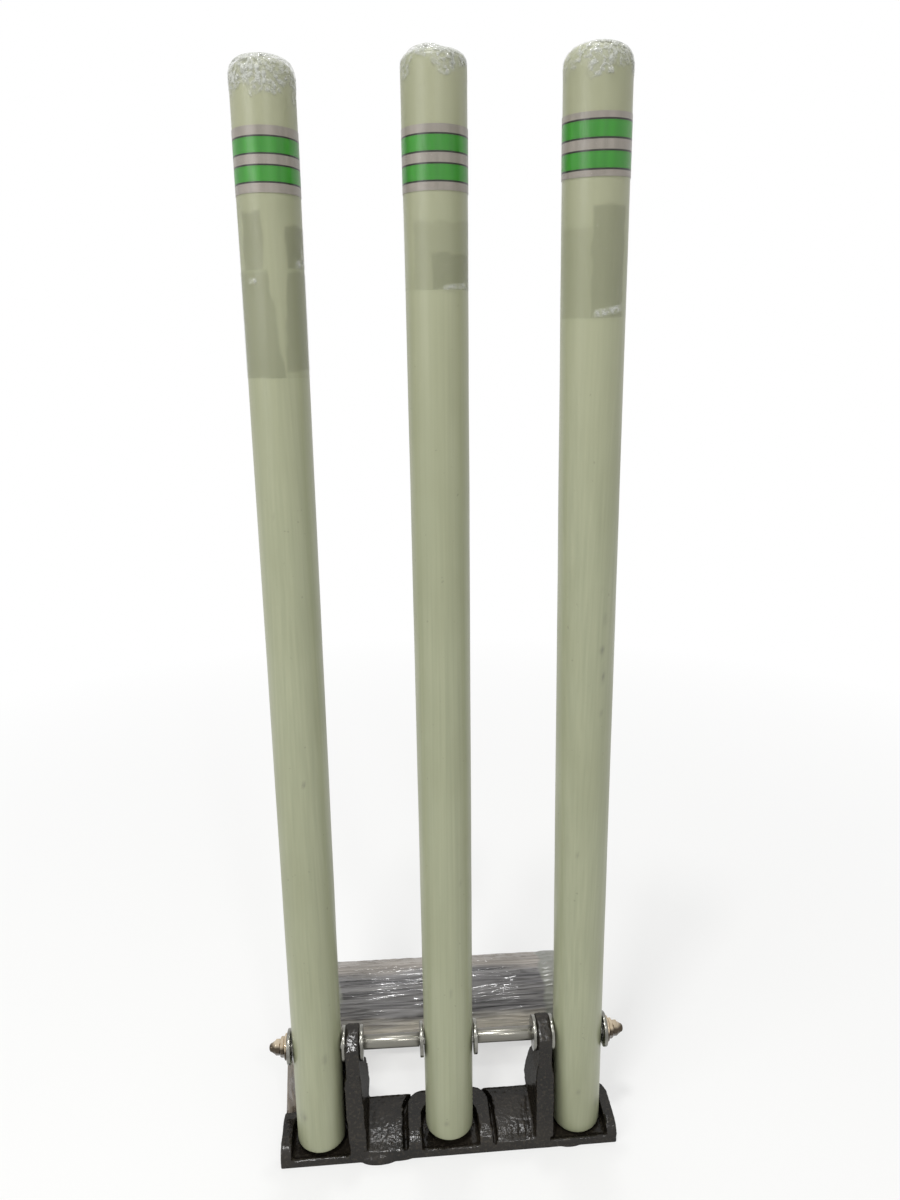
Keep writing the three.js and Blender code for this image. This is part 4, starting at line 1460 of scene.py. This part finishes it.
# %% [markdown]
# ## Floor, backdrop and light
# The part stands on a plain pale floor in a plain white room. The floor and the world look
# white to the camera and to reflections, and give a soft even light otherwise, so the
# backdrop needs no lamp of its own. A picture of a real room could light it too, but a few
# lamps with known places are easier to read. A broad one stands low on the left, as a window
# does. Two small ones hang near the ceiling, one before the stumps and one behind: what they
# leave on tubes, decks and film is a narrow highlight, as in a shop. A small one in front
# makes the grains of the black paint sparkle.

# %% Rays that see the white backdrop
def seen_rays(tree):
    """A value that is 1 for what the camera, a reflection or a see-through piece shows."""
    rays = add(tree, "ShaderNodeLightPath").outputs
    seen = rays["Is Camera Ray"]
    for kind in ("Is Glossy Ray", "Is Transmission Ray"):
        seen = add(tree, "ShaderNodeMath", settings={"operation": "MAXIMUM"},
                   links={0: seen, 1: rays[kind]}).outputs[0]
    return seen


# %% White floor that keeps the shadow
FLOOR_HALF, FLOOR_SUNK = 6.0, 0.05  # metres, and millimetres under the part
GLOW_STARTS, GLOW_FULL = 0.35, 1.1  # metres from the object
GLOW_NEAR = 0.55  # the glow's share close by, where the shadow has to stay


def pale_floor():
    sheet = bmesh.new()
    bmesh.ops.create_grid(sheet, x_segments=1, y_segments=1, size=FLOOR_HALF)
    moved(sheet, Matrix.Translation((0, 0, -FLOOR_SUNK * MM)))
    material, tree, shader = finish_named("pale_floor", "#e9e9e7", 0.9)
    place = add(tree, "ShaderNodeTexCoord").outputs["Object"]
    away = add(tree, "ShaderNodeVectorMath", settings={"operation": "LENGTH"},
               links={0: place}).outputs["Value"]
    glow_share = add(tree, "ShaderNodeMapRange", links={"Value": away},
                     values={"From Min": GLOW_STARTS, "From Max": GLOW_FULL,
                             "To Min": GLOW_NEAR})
    share = add(tree, "ShaderNodeMath", settings={"operation": "MULTIPLY"},
                links={0: seen_rays(tree), 1: glow_share.outputs["Result"]})
    glow = add(tree, "ShaderNodeEmission", values={"Color": linear("#ffffff"), "Strength": 1.0})
    mix = add(tree, "ShaderNodeMixShader", links={0: share.outputs[0], 1: shader.outputs[0],
                                                  2: glow.outputs[0]})
    output = next(n for n in tree.nodes if n.type == "OUTPUT_MATERIAL")
    tree.links.new(mix.outputs[0], output.inputs["Surface"])
    floor = mesh_object("floor", sheet, (material,))
    floor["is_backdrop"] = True
    print("floor", 2 * FLOOR_HALF, "m wide")


pale_floor()

# %% The world
AMBIENT = 0.58  # the even light on the part, where 1 is white


def white_room():
    world = bpy.data.worlds.new("studio")
    scene.world = world
    world.use_nodes = True
    tree = world.node_tree
    tree.nodes.clear()
    dim, white = (add(tree, "ShaderNodeBackground",
                      values={"Color": linear("#ffffff"), "Strength": strength})
                  for strength in (AMBIENT, 1.0))
    mix = add(tree, "ShaderNodeMixShader",
              links={0: seen_rays(tree), 1: dim.outputs[0], 2: white.outputs[0]})
    add(tree, "ShaderNodeOutputWorld", links={"Surface": mix.outputs[0]})


white_room()

# %% The lamps
LAMPS = {  # (place in metres, side in metres, watts)
    "window": ((-1.2, -1.0, 1.0), 0.8, 7),
    "ceiling": ((-0.3, -0.62, 2.1), 0.2, 15.5),
    "ceiling_behind": ((0.05, 0.56, 2.1), 0.2, 5.5),
    "front": ((0.25, -1.1, 1.25), 0.1, 2.4),
}
LIT_POINT = Vector((0, 0, 0.3))


def soft_box(name, place, side, watts):
    lamp = bpy.data.lights.new(name, "AREA")
    lamp.shape = "RECTANGLE"
    lamp.size = lamp.size_y = side
    lamp.energy = watts
    box = bpy.data.objects.new(name, lamp)
    scene.collection.objects.link(box)
    aim = (LIT_POINT - Vector(place)).to_track_quat("-Z", "Y").to_matrix().to_4x4()
    box.matrix_world = Matrix.Translation(place) @ aim
    print(name, watts, "W")


for name, values in LAMPS.items():
    soft_box(name, *values)

scene.view_settings.view_transform = "Standard"

# %% Print the visual box and finish
low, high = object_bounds()
print("visual box", [round(v, 4) for v in (*low, *high)])
